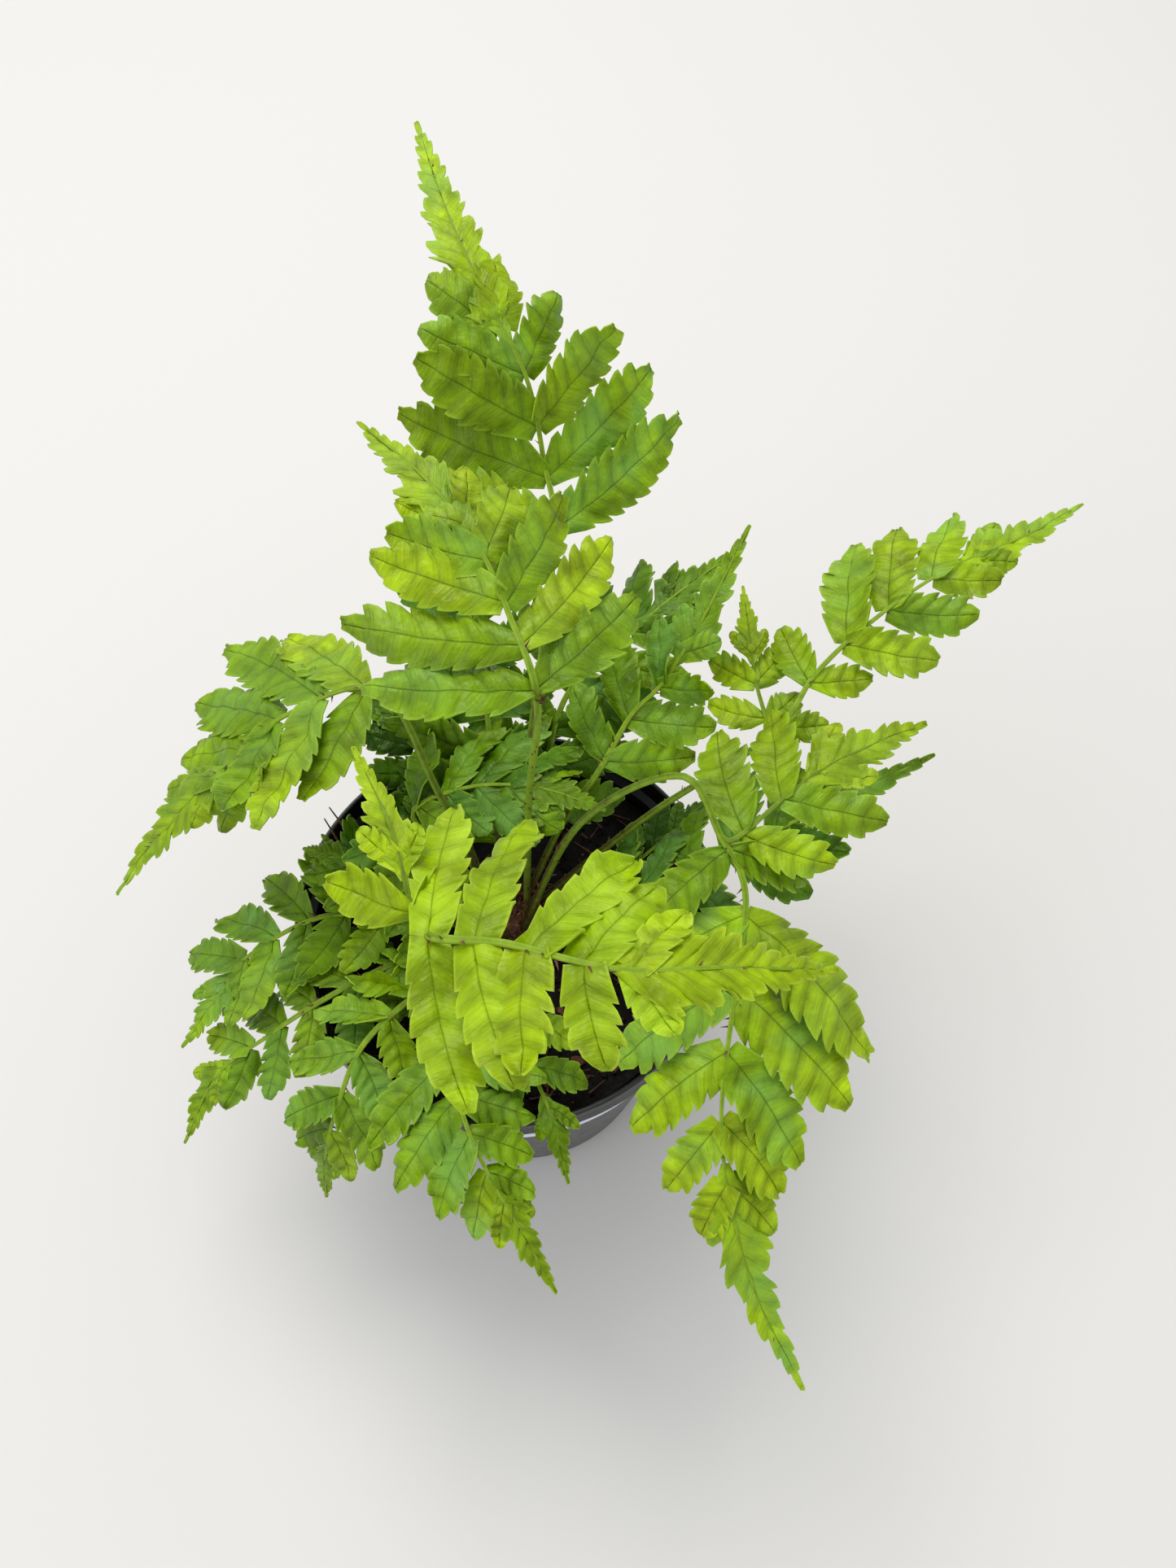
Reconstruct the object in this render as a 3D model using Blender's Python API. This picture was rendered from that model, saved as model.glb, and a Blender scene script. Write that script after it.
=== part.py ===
"""A young fern in a round nursery pot: thin-walled pot, sticker, soil, crown, and one solid for each frond.

Lengths are in metres. The origin is the middle of the pot's underside, and +Z is up.
"""

import math
import random
from dataclasses import dataclass

import bmesh
import bpy
from mathutils import Vector

MM = 0.001
UP = Vector((0, 0, 1))

# Pot
RIM_DIAMETER = 90 * MM
POT_HEIGHT = 78 * MM
BASE_DIAMETER = 65 * MM
WALL = 1.0 * MM
BAND_HEIGHT = 7 * MM
BAND_STEP = 1.6 * MM
LIP_ROUNDING = 0.3 * MM
BASE_THICKNESS = 1.4 * MM
DRAIN_HOLES = 6
DRAIN_HOLE_DIAMETER = 8 * MM
DRAIN_RING_SHARE = 0.62
TURN_STEPS = 40
CROWN_TURN_STEPS = 24
DRAIN_TURN_STEPS = 12

# Sticker on the wall, under the band
STICKER_TURN = (-112, -42)
STICKER_HEIGHT = 12 * MM
STICKER_DROP = 1.5 * MM
STICKER_THICKNESS = 0.4 * MM
STICKER_STEPS = 10

# Soil and the fern's crown
SOIL_DEPTH = 9 * MM
SOIL_WALL_GAP = 0.45 * MM
SOIL_CROWNING = 1.5 * MM
SOIL_SHOULDER_SHARE = 0.54
CROWN_DIAMETER = 23 * MM
CROWN_HEIGHT = 6 * MM
CROWN_SEAT = 2 * MM
CROWN_DOMING = 0.75
CROWN_RINGS = (1, 0.8, 0.55, 0.28, 0)

# Fronds
LEAF_THICKNESS = 0.9 * MM
STIPE_WIDTH = 1.8 * MM
LEAFLET_FOOT = 2.2 * MM
LEAFLET_FILL = 0.80
LEAFLET_STOUTNESS = 0.55
PAIR_START = 0.12
LEAFLET_DROOP = 0.10
ANGLE_CLOSING = 24
LEAFLET_OUTLINE = ((0.28, 1.0), (0.72, 0.85), (1.0, 0.3))
TIP_OUTLINE = ((0.07, 0.2), (0.26, 1.0), (0.48, 0.7), (0.75, 0.36), (1.0, 0.06))
OUTER_RING = 8.4 * MM
INNER_RING = 3.6 * MM
RIM_PASSAGE = 3.0 * MM
ROUTES_DRAWN_FOR = 90 * MM  # the rim that the routes fit, and spread with
STIPE_STATIONS = (0.2, 0.4, 0.6, 0.8)
SPLINE_STEPS = 12

# Small things on the soil: places are a distance from the middle and a turn in degrees
CHIP_SIZE = Vector((4.4, 2.8, 1.6)) * MM
CHIP_PLACES = ((38, 149), (33, 296), (36, 322), (27, 312))
CHIP_SIZE_RANGE = (0.75, 1.1)
CHIP_UNEVENNESS = 0.14
CHIP_ROUNDING = 0.12
CHIP_LIFT = 0.3 * MM
STALK_DIAMETER = 0.7 * MM
STALK_HEIGHTS = (20 * MM, 18 * MM)
STALK_RING = 41 * MM
STALK_TURNS = (152, 156)
WITHERED_LENGTH = 10 * MM
WITHERED_WIDTH = 5.5 * MM
WITHERED_TURN = 117
WITHERED_RISE = 41
WITHERED_FOOT_WIDTH = 1.1 * MM

GAP = 0.3 * MM
ORIGIN_NAME = "pot_base_middle"


@dataclass
class Blade:
    """The leafy part of a frond, along a route of points in millimetres from the middle of the rim.

    left and right give the free leaflets' lengths from the foot up, and 0 leaves one out. Past
    merged_from, a share of the blade's length, the leaflets join into one lobed tip that is merged_width
    wide at its start. The leaflets lean forward by angle, in degrees from the rachis, less and less
    towards the tip.
    """

    route: list
    left: list
    right: list
    merged_from: float
    merged_width: float
    angle: float = 58


@dataclass
class Frond:
    """One frond, which grows from the crown at root_turn degrees and root_ring from its middle.

    arch is how far the stipe bows upward, as a share of its length, unless stipe gives its own points.
    A branch leaves the left of the blade's foot.
    """

    name: str
    root_turn: float
    root_ring: float
    blade: Blade
    arch: float = 0.12
    stipe: tuple = ()
    branch: Blade = None


FRONDS = [
    Frond(
        "frond_back_tall",
        84,
        INNER_RING,
        Blade(
            [(10, 56, 52), (8, 68, 62), (5, 76, 75), (-2, 86, 84), (-10, 103, 91), (-17, 126, 95)],
            left=[27, 29, 25, 19],
            right=[33, 29, 22, 16],
            merged_from=0.44,
            merged_width=17,
            angle=55,
        ),
        arch=0.02,
    ),
    Frond(
        "frond_centre",
        10,
        INNER_RING,
        Blade(
            [(9, -2, 80), (5, 9, 86), (0, 19, 91), (-8, 29, 95), (-20, 42, 95)],
            left=[24, 25, 20, 14],
            right=[22, 24, 18, 12],
            merged_from=0.52,
            merged_width=13,
            angle=60,
        ),
    ),
    Frond(
        "frond_left",
        156,
        INNER_RING,
        Blade(
            [(-21, 20, 52), (-39, 18, 47), (-53, 12, 37), (-68, 2, 25), (-75, -5, 19)],
            left=[19, 23, 17, 13],
            right=[26, 32, 24, 17],
            merged_from=0.54,
            merged_width=12,
            angle=52,
        ),
    ),
    Frond(
        "frond_near",
        266,
        INNER_RING,
        Blade(
            [(-3, -46, 94), (7, -49, 98), (20, -53, 100), (33, -52, 98), (47, -50, 92)],
            left=[17, 17, 15, 12],
            right=[19, 15, 13, 10],
            merged_from=0.5,
            merged_width=10,
            angle=80,
        ),
        branch=Blade(
            [(-5, -43, 93), (-8, -33, 96), (-14, -21, 97)],
            left=[7],
            right=[5],
            merged_from=0.3,
            merged_width=9,
        ),
    ),
    Frond(
        "frond_right_front",
        322,
        INNER_RING,
        Blade(
            [(39, -10, 52), (43, -19, 48), (41, -34, 39), (39, -54, 27), (44, -74, 14), (53, -90, 4)],
            left=[13, 27, 24, 20, 14],
            right=[16, 20, 22, 18, 12],
            merged_from=0.6,
            merged_width=11,
            angle=60,
        ),
        stipe=[(15, -1, 40), (32, -1, 57)],
        branch=Blade(
            [(42, -10, 52), (54, 0, 54), (66, 7, 54), (77, 13, 52)],
            left=[13, 12],
            right=[8, 10],
            merged_from=0.42,
            merged_width=14,
        ),
    ),
    Frond(
        "frond_right_back",
        40,
        OUTER_RING,
        Blade(
            [(51, 18, 40), (60, 29, 45), (70, 37, 50), (84, 46, 54), (102, 55, 55), (115, 64, 54)],
            left=[0, 11, 19, 18, 14],
            right=[7, 10, 16, 14, 10],
            merged_from=0.64,
            merged_width=11,
            angle=55,
        ),
        arch=0.05,
        branch=Blade(
            [(51, 20, 40), (49, 29, 42), (48, 38, 45), (47, 48, 48)],
            left=[7, 6],
            right=[5, 6],
            merged_from=0.5,
            merged_width=8,
        ),
    ),
    Frond(
        "frond_right_inner",
        62,
        OUTER_RING,
        Blade(
            [(19, 18, 28), (25, 26, 35), (31, 29, 42), (38, 36, 52), (47, 51, 62)],
            left=[15, 18, 12],
            right=[16, 15, 10],
            merged_from=0.5,
            merged_width=12,
        ),
    ),
    Frond(
        "frond_low_centre",
        147,
        OUTER_RING,
        Blade(
            [(-19, 14, 18), (-7, 17, 23), (7, 15, 26), (20, 10, 26)],
            left=[10, 13, 13, 9],
            right=[7, 6, 11, 8],
            merged_from=0.62,
            merged_width=9,
        ),
    ),
    Frond(
        "frond_front",
        258,
        OUTER_RING,
        Blade(
            [(-9, -33, 12), (-6, -46, 11), (-1, -56, 8), (5, -65, 4), (11, -74, -2)],
            left=[15, 12, 10, 7],
            right=[19, 16, 12, 9],
            merged_from=0.6,
            merged_width=9,
            angle=60,
        ),
    ),
    Frond(
        "frond_left_low_back",
        188,
        OUTER_RING,
        Blade(
            [(-38, -5, 8), (-53, -11, 2), (-60, -18, -4), (-67, -26, -10)],
            left=[9, 10, 8],
            right=[12, 11, 9],
            merged_from=0.58,
            merged_width=8,
        ),
    ),
    Frond(
        "frond_left_low_middle",
        211,
        OUTER_RING,
        Blade(
            [(-36, -21, 4), (-48, -25, -5), (-60, -31, -13), (-68, -42, -24)],
            left=[8, 9, 7],
            right=[9, 10, 8],
            merged_from=0.58,
            merged_width=8,
        ),
    ),
    Frond(
        "frond_left_low_front",
        234,
        OUTER_RING,
        Blade(
            [(-26, -31, 8), (-31, -42, 3), (-35, -48, -10), (-37, -53, -24)],
            left=[8, 9, 6],
            right=[9, 8, 6],
            merged_from=0.6,
            merged_width=6,
        ),
    ),
    Frond(
        "frond_inner_back",
        106,
        OUTER_RING,
        Blade(
            [(-4, 32, 24), (-6, 44, 36), (-12, 58, 44), (-22, 72, 48)],
            left=[14, 13, 9],
            right=[11, 12, 9],
            merged_from=0.55,
            merged_width=10,
        ),
        arch=0.02,
    ),
    Frond(
        "frond_inner_right",
        356,
        OUTER_RING,
        Blade(
            [(34, -1, 18), (50, 4, 25), (66, 11, 29), (85, 20, 30)],
            left=[9, 11, 8],
            right=[10, 10, 8],
            merged_from=0.5,
            merged_width=11,
        ),
    ),
    Frond(
        "frond_back_inner",
        84,
        OUTER_RING,
        Blade(
            [(12, 36, 27), (23, 46, 32), (34, 55, 36), (48, 66, 38)],
            left=[13, 14, 10],
            right=[11, 10, 8],
            merged_from=0.55,
            merged_width=10,
        ),
        arch=0.02,
    ),
    Frond(
        "frond_inner_low_right",
        18,
        OUTER_RING,
        Blade(
            [(17, 3, 4), (27, 8, 8), (36, 15, 11), (46, 23, 12)],
            left=[5, 7, 6],
            right=[4, 6, 6],
            merged_from=0.58,
            merged_width=8,
        ),
    ),
    Frond(
        "frond_inner_low_left",
        127,
        OUTER_RING,
        Blade(
            [(-12, 22, 6), (-19, 30, 13), (-25, 38, 18), (-34, 46, 20)],
            left=[8, 9, 7],
            right=[9, 9, 7],
            merged_from=0.58,
            merged_width=8,
        ),
        arch=0.02,
    ),
    Frond(
        "frond_left_small",
        167,
        OUTER_RING,
        Blade(
            [(-26, 2, 10), (-33, 6, 13), (-42, 9, 12)],
            left=[7, 6],
            right=[9, 7],
            merged_from=0.5,
            merged_width=7,
        ),
    ),
    Frond(
        "frond_front_small",
        296,
        OUTER_RING,
        Blade(
            [(5, -32, 4), (9, -42, 4), (11, -48, 2), (13, -55, -2)],
            left=[7],
            right=[6],
            merged_from=0.4,
            merged_width=8,
        ),
    ),
]


class Path:
    """A smooth curve through points, read by the distance along it."""

    def __init__(self, points):
        ends = [points[0] * 2 - points[1], *points, points[-1] * 2 - points[-2]]
        self.places = []
        self.knots = []
        for spans in zip(ends, ends[1:], ends[2:], ends[3:]):
            self.knots.append(len(self.places))
            self.places += [spline_point(*spans, i / SPLINE_STEPS) for i in range(SPLINE_STEPS)]
        self.knots.append(len(self.places))
        self.places.append(points[-1])
        self.lengths = [0.0]
        for a, b in zip(self.places, self.places[1:]):
            self.lengths.append(self.lengths[-1] + (b - a).length)

    def distance_to(self, knot):
        return self.lengths[self.knots[knot]]

    def at(self, distance):
        """The place and the heading at this distance."""
        i = 1
        while i < len(self.lengths) - 1 and self.lengths[i] < distance:
            i += 1
        start, end = self.places[i - 1], self.places[i]
        share = (distance - self.lengths[i - 1]) / (self.lengths[i] - self.lengths[i - 1])
        return start.lerp(end, share), (end - start).normalized()


def spline_point(before, start, end, after, t):
    """A Catmull-Rom point between start and end."""
    return 0.5 * (
        2 * start
        + (end - before) * t
        + (2 * before - 5 * start + 4 * end - after) * t**2
        + (3 * start - before - 3 * end + after) * t**3
    )


# ---- Heights that several pieces share ----


def soil_height(radius):
    """The soil's surface, a little higher in the middle."""
    share = min(radius / (RIM_DIAMETER / 2), 1)
    return POT_HEIGHT - SOIL_DEPTH + SOIL_CROWNING * (1 - share**2)


def crown_base():
    return soil_height(0) - CROWN_SEAT


def crown_surface(radius):
    """The crown's domed top."""
    share = min(radius / (CROWN_DIAMETER / 2), 1)
    return crown_base() + CROWN_HEIGHT * (1 - CROWN_DOMING * share**2)


def wall_radius(height):
    """The outside of the wall under the band, by height."""
    top = RIM_DIAMETER / 2 - BAND_STEP
    share = height / (POT_HEIGHT - BAND_HEIGHT)
    return BASE_DIAMETER / 2 + (top - BASE_DIAMETER / 2) * share


# ---- Blender helpers ----


def material(name, colour, roughness, metallic=0.0):
    made = bpy.data.materials.new(name)
    made.use_nodes = True
    shader = made.node_tree.nodes["Principled BSDF"]
    shader.inputs["Base Color"].default_value = (*colour, 1)
    shader.inputs["Roughness"].default_value = roughness
    shader.inputs["Metallic"].default_value = metallic
    return made


def place_object(name, bm, finish, smooth=False, location=(0, 0, 0), turn=0.0):
    """Closes a bmesh into a named object, and stands it on the plant's origin."""
    mesh = bpy.data.meshes.new(name)
    bm.to_mesh(mesh)
    bm.free()
    mesh.materials.append(finish)
    if smooth:
        mesh.shade_smooth()
        mesh.set_sharp_from_angle(angle=math.radians(35))
    made = bpy.data.objects.new(name, mesh)
    made.parent = bpy.data.objects[ORIGIN_NAME]
    made.location = location
    made.rotation_euler = (0, 0, turn)
    bpy.context.scene.collection.objects.link(made)
    return made


def turned(profile, turn=math.tau, start=0.0, steps=TURN_STEPS):
    """A bmesh spun about Z from a closed outline of (radius, height) points.

    A full turn may have its first and last point on the axis. A part turn gets a cap at each end.
    """
    bm = bmesh.new()
    full = turn == math.tau
    verts = [bm.verts.new((radius * math.cos(start), radius * math.sin(start), z)) for radius, z in profile]
    edges = [bm.edges.new(pair) for pair in zip(verts, verts[1:])]
    if profile[0][0] > 0:
        edges.append(bm.edges.new((verts[-1], verts[0])))
    geometry = verts + edges
    if not full:
        geometry.append(bm.faces.new(verts))
    bmesh.ops.spin(bm, geom=geometry, axis=UP, cent=(0, 0, 0), angle=turn, steps=steps, use_merge=full)
    bmesh.ops.remove_doubles(bm, verts=bm.verts, dist=1e-6)
    bmesh.ops.recalc_face_normals(bm, faces=bm.faces)
    return bm


# ---- Pot, sticker, soil and crown ----


def build_pot(plastic):
    rim = RIM_DIAMETER / 2
    under_band = POT_HEIGHT - BAND_HEIGHT
    step = rim - BAND_STEP
    foot = BASE_DIAMETER / 2
    inside = rim - WALL - LIP_ROUNDING
    profile = [
        (0, 0),
        (foot, 0),
        (step, under_band),
        (rim - LIP_ROUNDING, under_band + WALL),
        (rim, POT_HEIGHT - WALL),
        (rim - LIP_ROUNDING, POT_HEIGHT),
        (inside, POT_HEIGHT),
        (inside, under_band + BAND_STEP),
        (step - WALL, under_band),
        (foot - WALL, BASE_THICKNESS),
        (0, BASE_THICKNESS),
    ]
    pot = place_object("pot", turned(profile), plastic, smooth=True)
    for i in range(DRAIN_HOLES):
        turn = math.tau * (i + 0.5) / DRAIN_HOLES
        ring = BASE_DIAMETER / 2 * DRAIN_RING_SHARE
        bm = bmesh.new()
        bmesh.ops.create_cone(
            bm,
            cap_ends=True,
            segments=DRAIN_TURN_STEPS,
            radius1=DRAIN_HOLE_DIAMETER / 2,
            radius2=DRAIN_HOLE_DIAMETER / 2,
            depth=BASE_THICKNESS * 4,
        )
        place = (ring * math.cos(turn), ring * math.sin(turn), 0)
        cutter = place_object(f"drain_cutter_{i + 1}", bm, plastic, location=place)
        cutter.hide_render = True
        cutter.display_type = "WIRE"
        cut = pot.modifiers.new(f"drain_{i + 1}", "BOOLEAN")
        cut.operation = "DIFFERENCE"
        cut.object = cutter


def build_sticker(paper):
    """A strip that follows the tapered wall."""
    top = POT_HEIGHT - BAND_HEIGHT - STICKER_DROP
    low = top - STICKER_HEIGHT
    profile = [
        (wall_radius(low) + GAP, low),
        (wall_radius(low) + GAP + STICKER_THICKNESS, low),
        (wall_radius(top) + GAP + STICKER_THICKNESS, top),
        (wall_radius(top) + GAP, top),
    ]
    first, last = (math.radians(turn) for turn in STICKER_TURN)
    place_object("pot_sticker", turned(profile, last - first, first, STICKER_STEPS), paper, smooth=True)


def build_soil(earth):
    """Fills the pot to the watering line, with a seat for the crown."""
    seat = CROWN_DIAMETER / 2 + GAP
    inside_wall = WALL + SOIL_WALL_GAP
    edge = POT_HEIGHT - SOIL_DEPTH
    shoulder = RIM_DIAMETER / 2 * SOIL_SHOULDER_SHARE
    base = BASE_THICKNESS + GAP
    profile = [
        (0, base),
        (wall_radius(base) - inside_wall, base),
        (wall_radius(edge) - inside_wall, edge),
        (shoulder, soil_height(shoulder)),
        (seat, soil_height(seat)),
        (seat, crown_base() - GAP),
        (0, crown_base() - GAP),
    ]
    place_object("potting_soil", turned(profile), earth, smooth=True)


def build_crown(scales):
    """The low scaly stump that every frond grows from."""
    radius = CROWN_DIAMETER / 2
    profile = [(0, crown_base()), (radius, crown_base())]
    profile += [(radius * share, crown_surface(radius * share)) for share in CROWN_RINGS]
    place_object("crown", turned(profile, steps=CROWN_TURN_STEPS), scales, smooth=True)


# ---- Fronds ----


def route_point(point):
    """A route point in the pot's frame, spread with the rim and kept above it until it is outside."""
    spread = RIM_DIAMETER / ROUTES_DRAWN_FOR
    place = Vector(point) * MM * spread
    place.z = point[2] * MM + POT_HEIGHT
    lowest = POT_HEIGHT + RIM_PASSAGE
    if math.hypot(place.x, place.y) < RIM_DIAMETER / 2 + RIM_PASSAGE and place.z < lowest:
        place.z = lowest
    return place


def root_point(turn, ring):
    """Where a stipe leaves the crown."""
    turn = math.radians(turn)
    clear = GAP + LEAF_THICKNESS / 2
    return Vector((ring * math.cos(turn), ring * math.sin(turn), crown_surface(ring) + clear))


def side_of(heading):
    """Level, to the left of the heading."""
    return UP.cross(heading).normalized()


def extend(bm, front, left, right):
    """Extrudes the strip's front edge to two new points, and gives the new front."""
    edge = bm.edges.get(front)
    made = bmesh.ops.extrude_edge_only(bm, edges=[edge])["geom"]
    fresh = {item for item in made if isinstance(item, bmesh.types.BMVert)}
    new_front = tuple(next(e.other_vert(v) for e in v.link_edges if e.other_vert(v) in fresh) for v in front)
    for vert, place in zip(new_front, (left, right)):
        vert.co = place
    return new_front


def extend_rachis(bm, front, path, distance, half_width):
    place, heading = path.at(distance)
    side = side_of(heading)
    return extend(bm, front, place + side * half_width, place - side * half_width)


def add_leaflet(bm, lower, upper, out, along, length, width):
    """Extrudes a tapering leaflet from one edge of the rachis."""
    across = (along - out * along.dot(out)).normalized()
    foot = (lower.co + upper.co) / 2
    front = (lower, upper)
    for share, fullness in LEAFLET_OUTLINE:
        centre = foot + out * length * share
        half = width / 2 * fullness
        front = extend(bm, front, centre - across * half, centre + across * half)


def add_pair(bm, back, front, path, middle, blade, pair, width):
    """The leaflets on both sides of one short stretch of rachis."""
    heading = path.at(middle)[1]
    side = side_of(heading)
    closing = pair / max(len(blade.left), len(blade.right)) - 0.5
    angle = math.radians(blade.angle - ANGLE_CLOSING * closing)
    sides = ((blade.left, 1, back[0], front[0]), (blade.right, -1, back[1], front[1]))
    for lengths, sign, low, high in sides:
        if pair >= len(lengths) or not lengths[pair]:
            continue
        out = heading * math.cos(angle) + side * sign * math.sin(angle) - UP * LEAFLET_DROOP
        length = lengths[pair] * MM
        stout = min(width, length * LEAFLET_STOUTNESS)
        add_leaflet(bm, low, high, out.normalized(), heading, length, stout)


def add_blade(bm, front, path, start, blade):
    """Leaflet pairs up the rachis, then the lobed tip that the last ones merge into."""
    half = STIPE_WIDTH / 2
    length = path.lengths[-1] - start
    pairs = max(len(blade.left), len(blade.right))
    pitch = length * blade.merged_from / pairs
    width = pitch * math.sin(math.radians(blade.angle)) * LEAFLET_FILL
    for pair in range(pairs):
        low = start + pitch * (pair + PAIR_START)
        back = extend_rachis(bm, front, path, low, half)
        front = extend_rachis(bm, back, path, low + LEAFLET_FOOT, half)
        add_pair(bm, back, front, path, low + LEAFLET_FOOT / 2, blade, pair, width)
    merged_length = length * (1 - blade.merged_from)
    for share, fullness in TIP_OUTLINE:
        distance = path.lengths[-1] - merged_length * (1 - share)
        front = extend_rachis(bm, front, path, distance, blade.merged_width / 2 * MM * fullness)


def thicken(leaf):
    """Gives a sheet its thickness, half to each side."""
    thick = leaf.modifiers.new("thickness", "SOLIDIFY")
    thick.thickness = LEAF_THICKNESS
    thick.offset = 0


def build_frond(frond, green):
    """A stipe from the crown, its blade, and the blade's large lowest branch where it has one."""
    foot = route_point(frond.blade.route[0])
    root = root_point(frond.root_turn, frond.root_ring)
    stipe = [route_point(point) for point in frond.stipe]
    if not stipe:
        stipe = [root.lerp(foot, 0.5) + UP * (foot - root).length * frond.arch]
    path = Path([root, *stipe, foot, *map(route_point, frond.blade.route[1:])])
    start = path.distance_to(1 + len(stipe))
    bm = bmesh.new()
    side = side_of(path.at(0)[1]) * STIPE_WIDTH / 2
    front = (bm.verts.new(root + side), bm.verts.new(root - side))
    bm.edges.new(front)
    for share in STIPE_STATIONS:
        front = extend_rachis(bm, front, path, start * share, STIPE_WIDTH / 2)
    back = extend_rachis(bm, front, path, start - LEAFLET_FOOT, STIPE_WIDTH / 2)
    front = extend_rachis(bm, back, path, start, STIPE_WIDTH / 2)
    fork_edge = (front[0], back[0])
    add_blade(bm, front, path, start, frond.blade)
    if frond.branch:
        fork = (fork_edge[0].co + fork_edge[1].co) / 2
        branch = Path([fork, *map(route_point, frond.branch.route)])
        add_blade(bm, fork_edge, branch, STIPE_WIDTH, frond.branch)
    bmesh.ops.recalc_face_normals(bm, faces=bm.faces)
    thicken(place_object(frond.name, bm, green))


# ---- Small things on the soil ----


def on_soil(distance, turn):
    """A place just clear of the soil's surface."""
    turn = math.radians(turn)
    return Vector((distance * math.cos(turn), distance * math.sin(turn), soil_height(distance) + GAP))


def build_chips(bark):
    """Flat, uneven pieces of bark."""
    chance = random.Random(7)
    for i, (distance, turn) in enumerate(CHIP_PLACES):
        size = CHIP_SIZE * chance.uniform(*CHIP_SIZE_RANGE)
        bm = bmesh.new()
        bmesh.ops.create_cube(bm, size=1)
        bmesh.ops.subdivide_edges(bm, edges=bm.edges, cuts=1, use_grid_fill=True)
        for vert in bm.verts:
            round_off = 1 - CHIP_ROUNDING * (vert.co.length / 0.5) ** 2
            vert.co = Vector([c * s * round_off for c, s in zip(vert.co, size)])
            vert.co *= 1 + chance.uniform(-CHIP_UNEVENNESS, CHIP_UNEVENNESS)
        lowest = min(vert.co.z for vert in bm.verts)
        place = on_soil(distance * MM, turn) + UP * (CHIP_LIFT - lowest)
        facing = chance.uniform(0, math.tau)
        place_object(f"bark_chip_{i + 1}", bm, bark, location=place, turn=facing)


def build_dry_stalks(straw):
    """Two thin dead stalks that stand at the edge of the soil."""
    for i, (turn, height) in enumerate(zip(STALK_TURNS, STALK_HEIGHTS)):
        bm = bmesh.new()
        bmesh.ops.create_cone(
            bm,
            cap_ends=True,
            segments=6,
            radius1=STALK_DIAMETER / 2,
            radius2=STALK_DIAMETER / 4,
            depth=height,
        )
        place = on_soil(STALK_RING, turn) + UP * height / 2
        place_object(f"dry_stalk_{i + 1}", bm, straw, smooth=True, location=place)


def build_withered_leaflet(straw):
    """A fallen leaflet that leans on the inside of the wall."""
    foot = on_soil(RIM_DIAMETER / 2 - WALL - WITHERED_LENGTH, WITHERED_TURN) + UP * LEAF_THICKNESS
    turn = math.radians(WITHERED_TURN)
    rise = math.radians(WITHERED_RISE)
    level = Vector((math.cos(turn), math.sin(turn), 0))
    out = level * math.cos(rise) + UP * math.sin(rise)
    side = side_of(out)
    bm = bmesh.new()
    stalk = side * WITHERED_FOOT_WIDTH / 2
    front = (bm.verts.new(foot + stalk), bm.verts.new(foot - stalk))
    bm.edges.new(front)
    for share, fullness in LEAFLET_OUTLINE:
        centre = foot + out * WITHERED_LENGTH * share
        half = side * WITHERED_WIDTH / 2 * fullness
        front = extend(bm, front, centre + half, centre - half)
    thicken(place_object("withered_leaflet", bm, straw))


def main():
    for old in list(bpy.data.objects):
        bpy.data.objects.remove(old, do_unlink=True)
    bpy.context.scene.collection.objects.link(bpy.data.objects.new(ORIGIN_NAME, None))
    build_pot(material("black_polypropylene", (0.01, 0.01, 0.011), 0.35))
    build_sticker(material("sticker_paper", (0.75, 0.77, 0.85), 0.5))
    build_soil(material("peat", (0.012, 0.009, 0.007), 0.95))
    build_crown(material("crown_scales", (0.09, 0.05, 0.025), 0.9))
    green = material("fern_leaf", (0.22, 0.42, 0.03), 0.45)
    for frond in FRONDS:
        build_frond(frond, green)
    build_chips(material("bark", (0.16, 0.06, 0.03), 0.9))
    straw = material("dry_straw", (0.32, 0.22, 0.12), 0.8)
    build_dry_stalks(straw)
    build_withered_leaflet(straw)


main()
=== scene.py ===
"""A young fern in a black nursery pot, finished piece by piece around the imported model.

Lengths are in metres and angles in degrees, unless a name or a comment says otherwise. The pot stands on
the origin and +Z is up.
"""

import math
import random
from dataclasses import dataclass

import bmesh
import bpy
from mathutils import Matrix, Vector, noise


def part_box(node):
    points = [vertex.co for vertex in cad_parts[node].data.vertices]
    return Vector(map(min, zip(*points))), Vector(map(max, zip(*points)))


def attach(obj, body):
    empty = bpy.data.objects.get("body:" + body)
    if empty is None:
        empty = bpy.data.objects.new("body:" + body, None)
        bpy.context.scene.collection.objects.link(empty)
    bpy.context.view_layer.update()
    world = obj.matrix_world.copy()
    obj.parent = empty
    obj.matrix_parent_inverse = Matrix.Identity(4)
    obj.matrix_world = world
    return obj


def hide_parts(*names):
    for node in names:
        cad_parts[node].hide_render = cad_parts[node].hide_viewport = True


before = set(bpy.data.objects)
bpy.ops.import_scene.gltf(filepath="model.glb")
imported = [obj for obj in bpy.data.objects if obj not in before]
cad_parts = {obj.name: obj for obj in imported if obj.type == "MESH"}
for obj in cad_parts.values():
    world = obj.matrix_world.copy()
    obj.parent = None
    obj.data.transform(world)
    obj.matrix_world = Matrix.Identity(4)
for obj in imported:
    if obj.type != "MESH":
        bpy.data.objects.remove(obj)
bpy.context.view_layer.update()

MM = 0.001
UP = Vector((0, 0, 1))

POT_HIGH = Vector(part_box("pot")[1])
SOIL_HIGH = Vector(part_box("potting_soil")[1])
CROWN_LOW, CROWN_HIGH = (Vector(corner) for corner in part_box("crown"))
RIM_HEIGHT = POT_HIGH.z
RIM_RADIUS = POT_HIGH.x

# ---- Where the fronds grow ----

RIM_PASSAGE = 3 * MM
CROWN_CLEAR = 0.75 * MM
CROWN_DOMING = 0.75
OUTER_RING = 8.4 * MM
INNER_RING = 3.6 * MM
SPLINE_STEPS = 12

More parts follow.
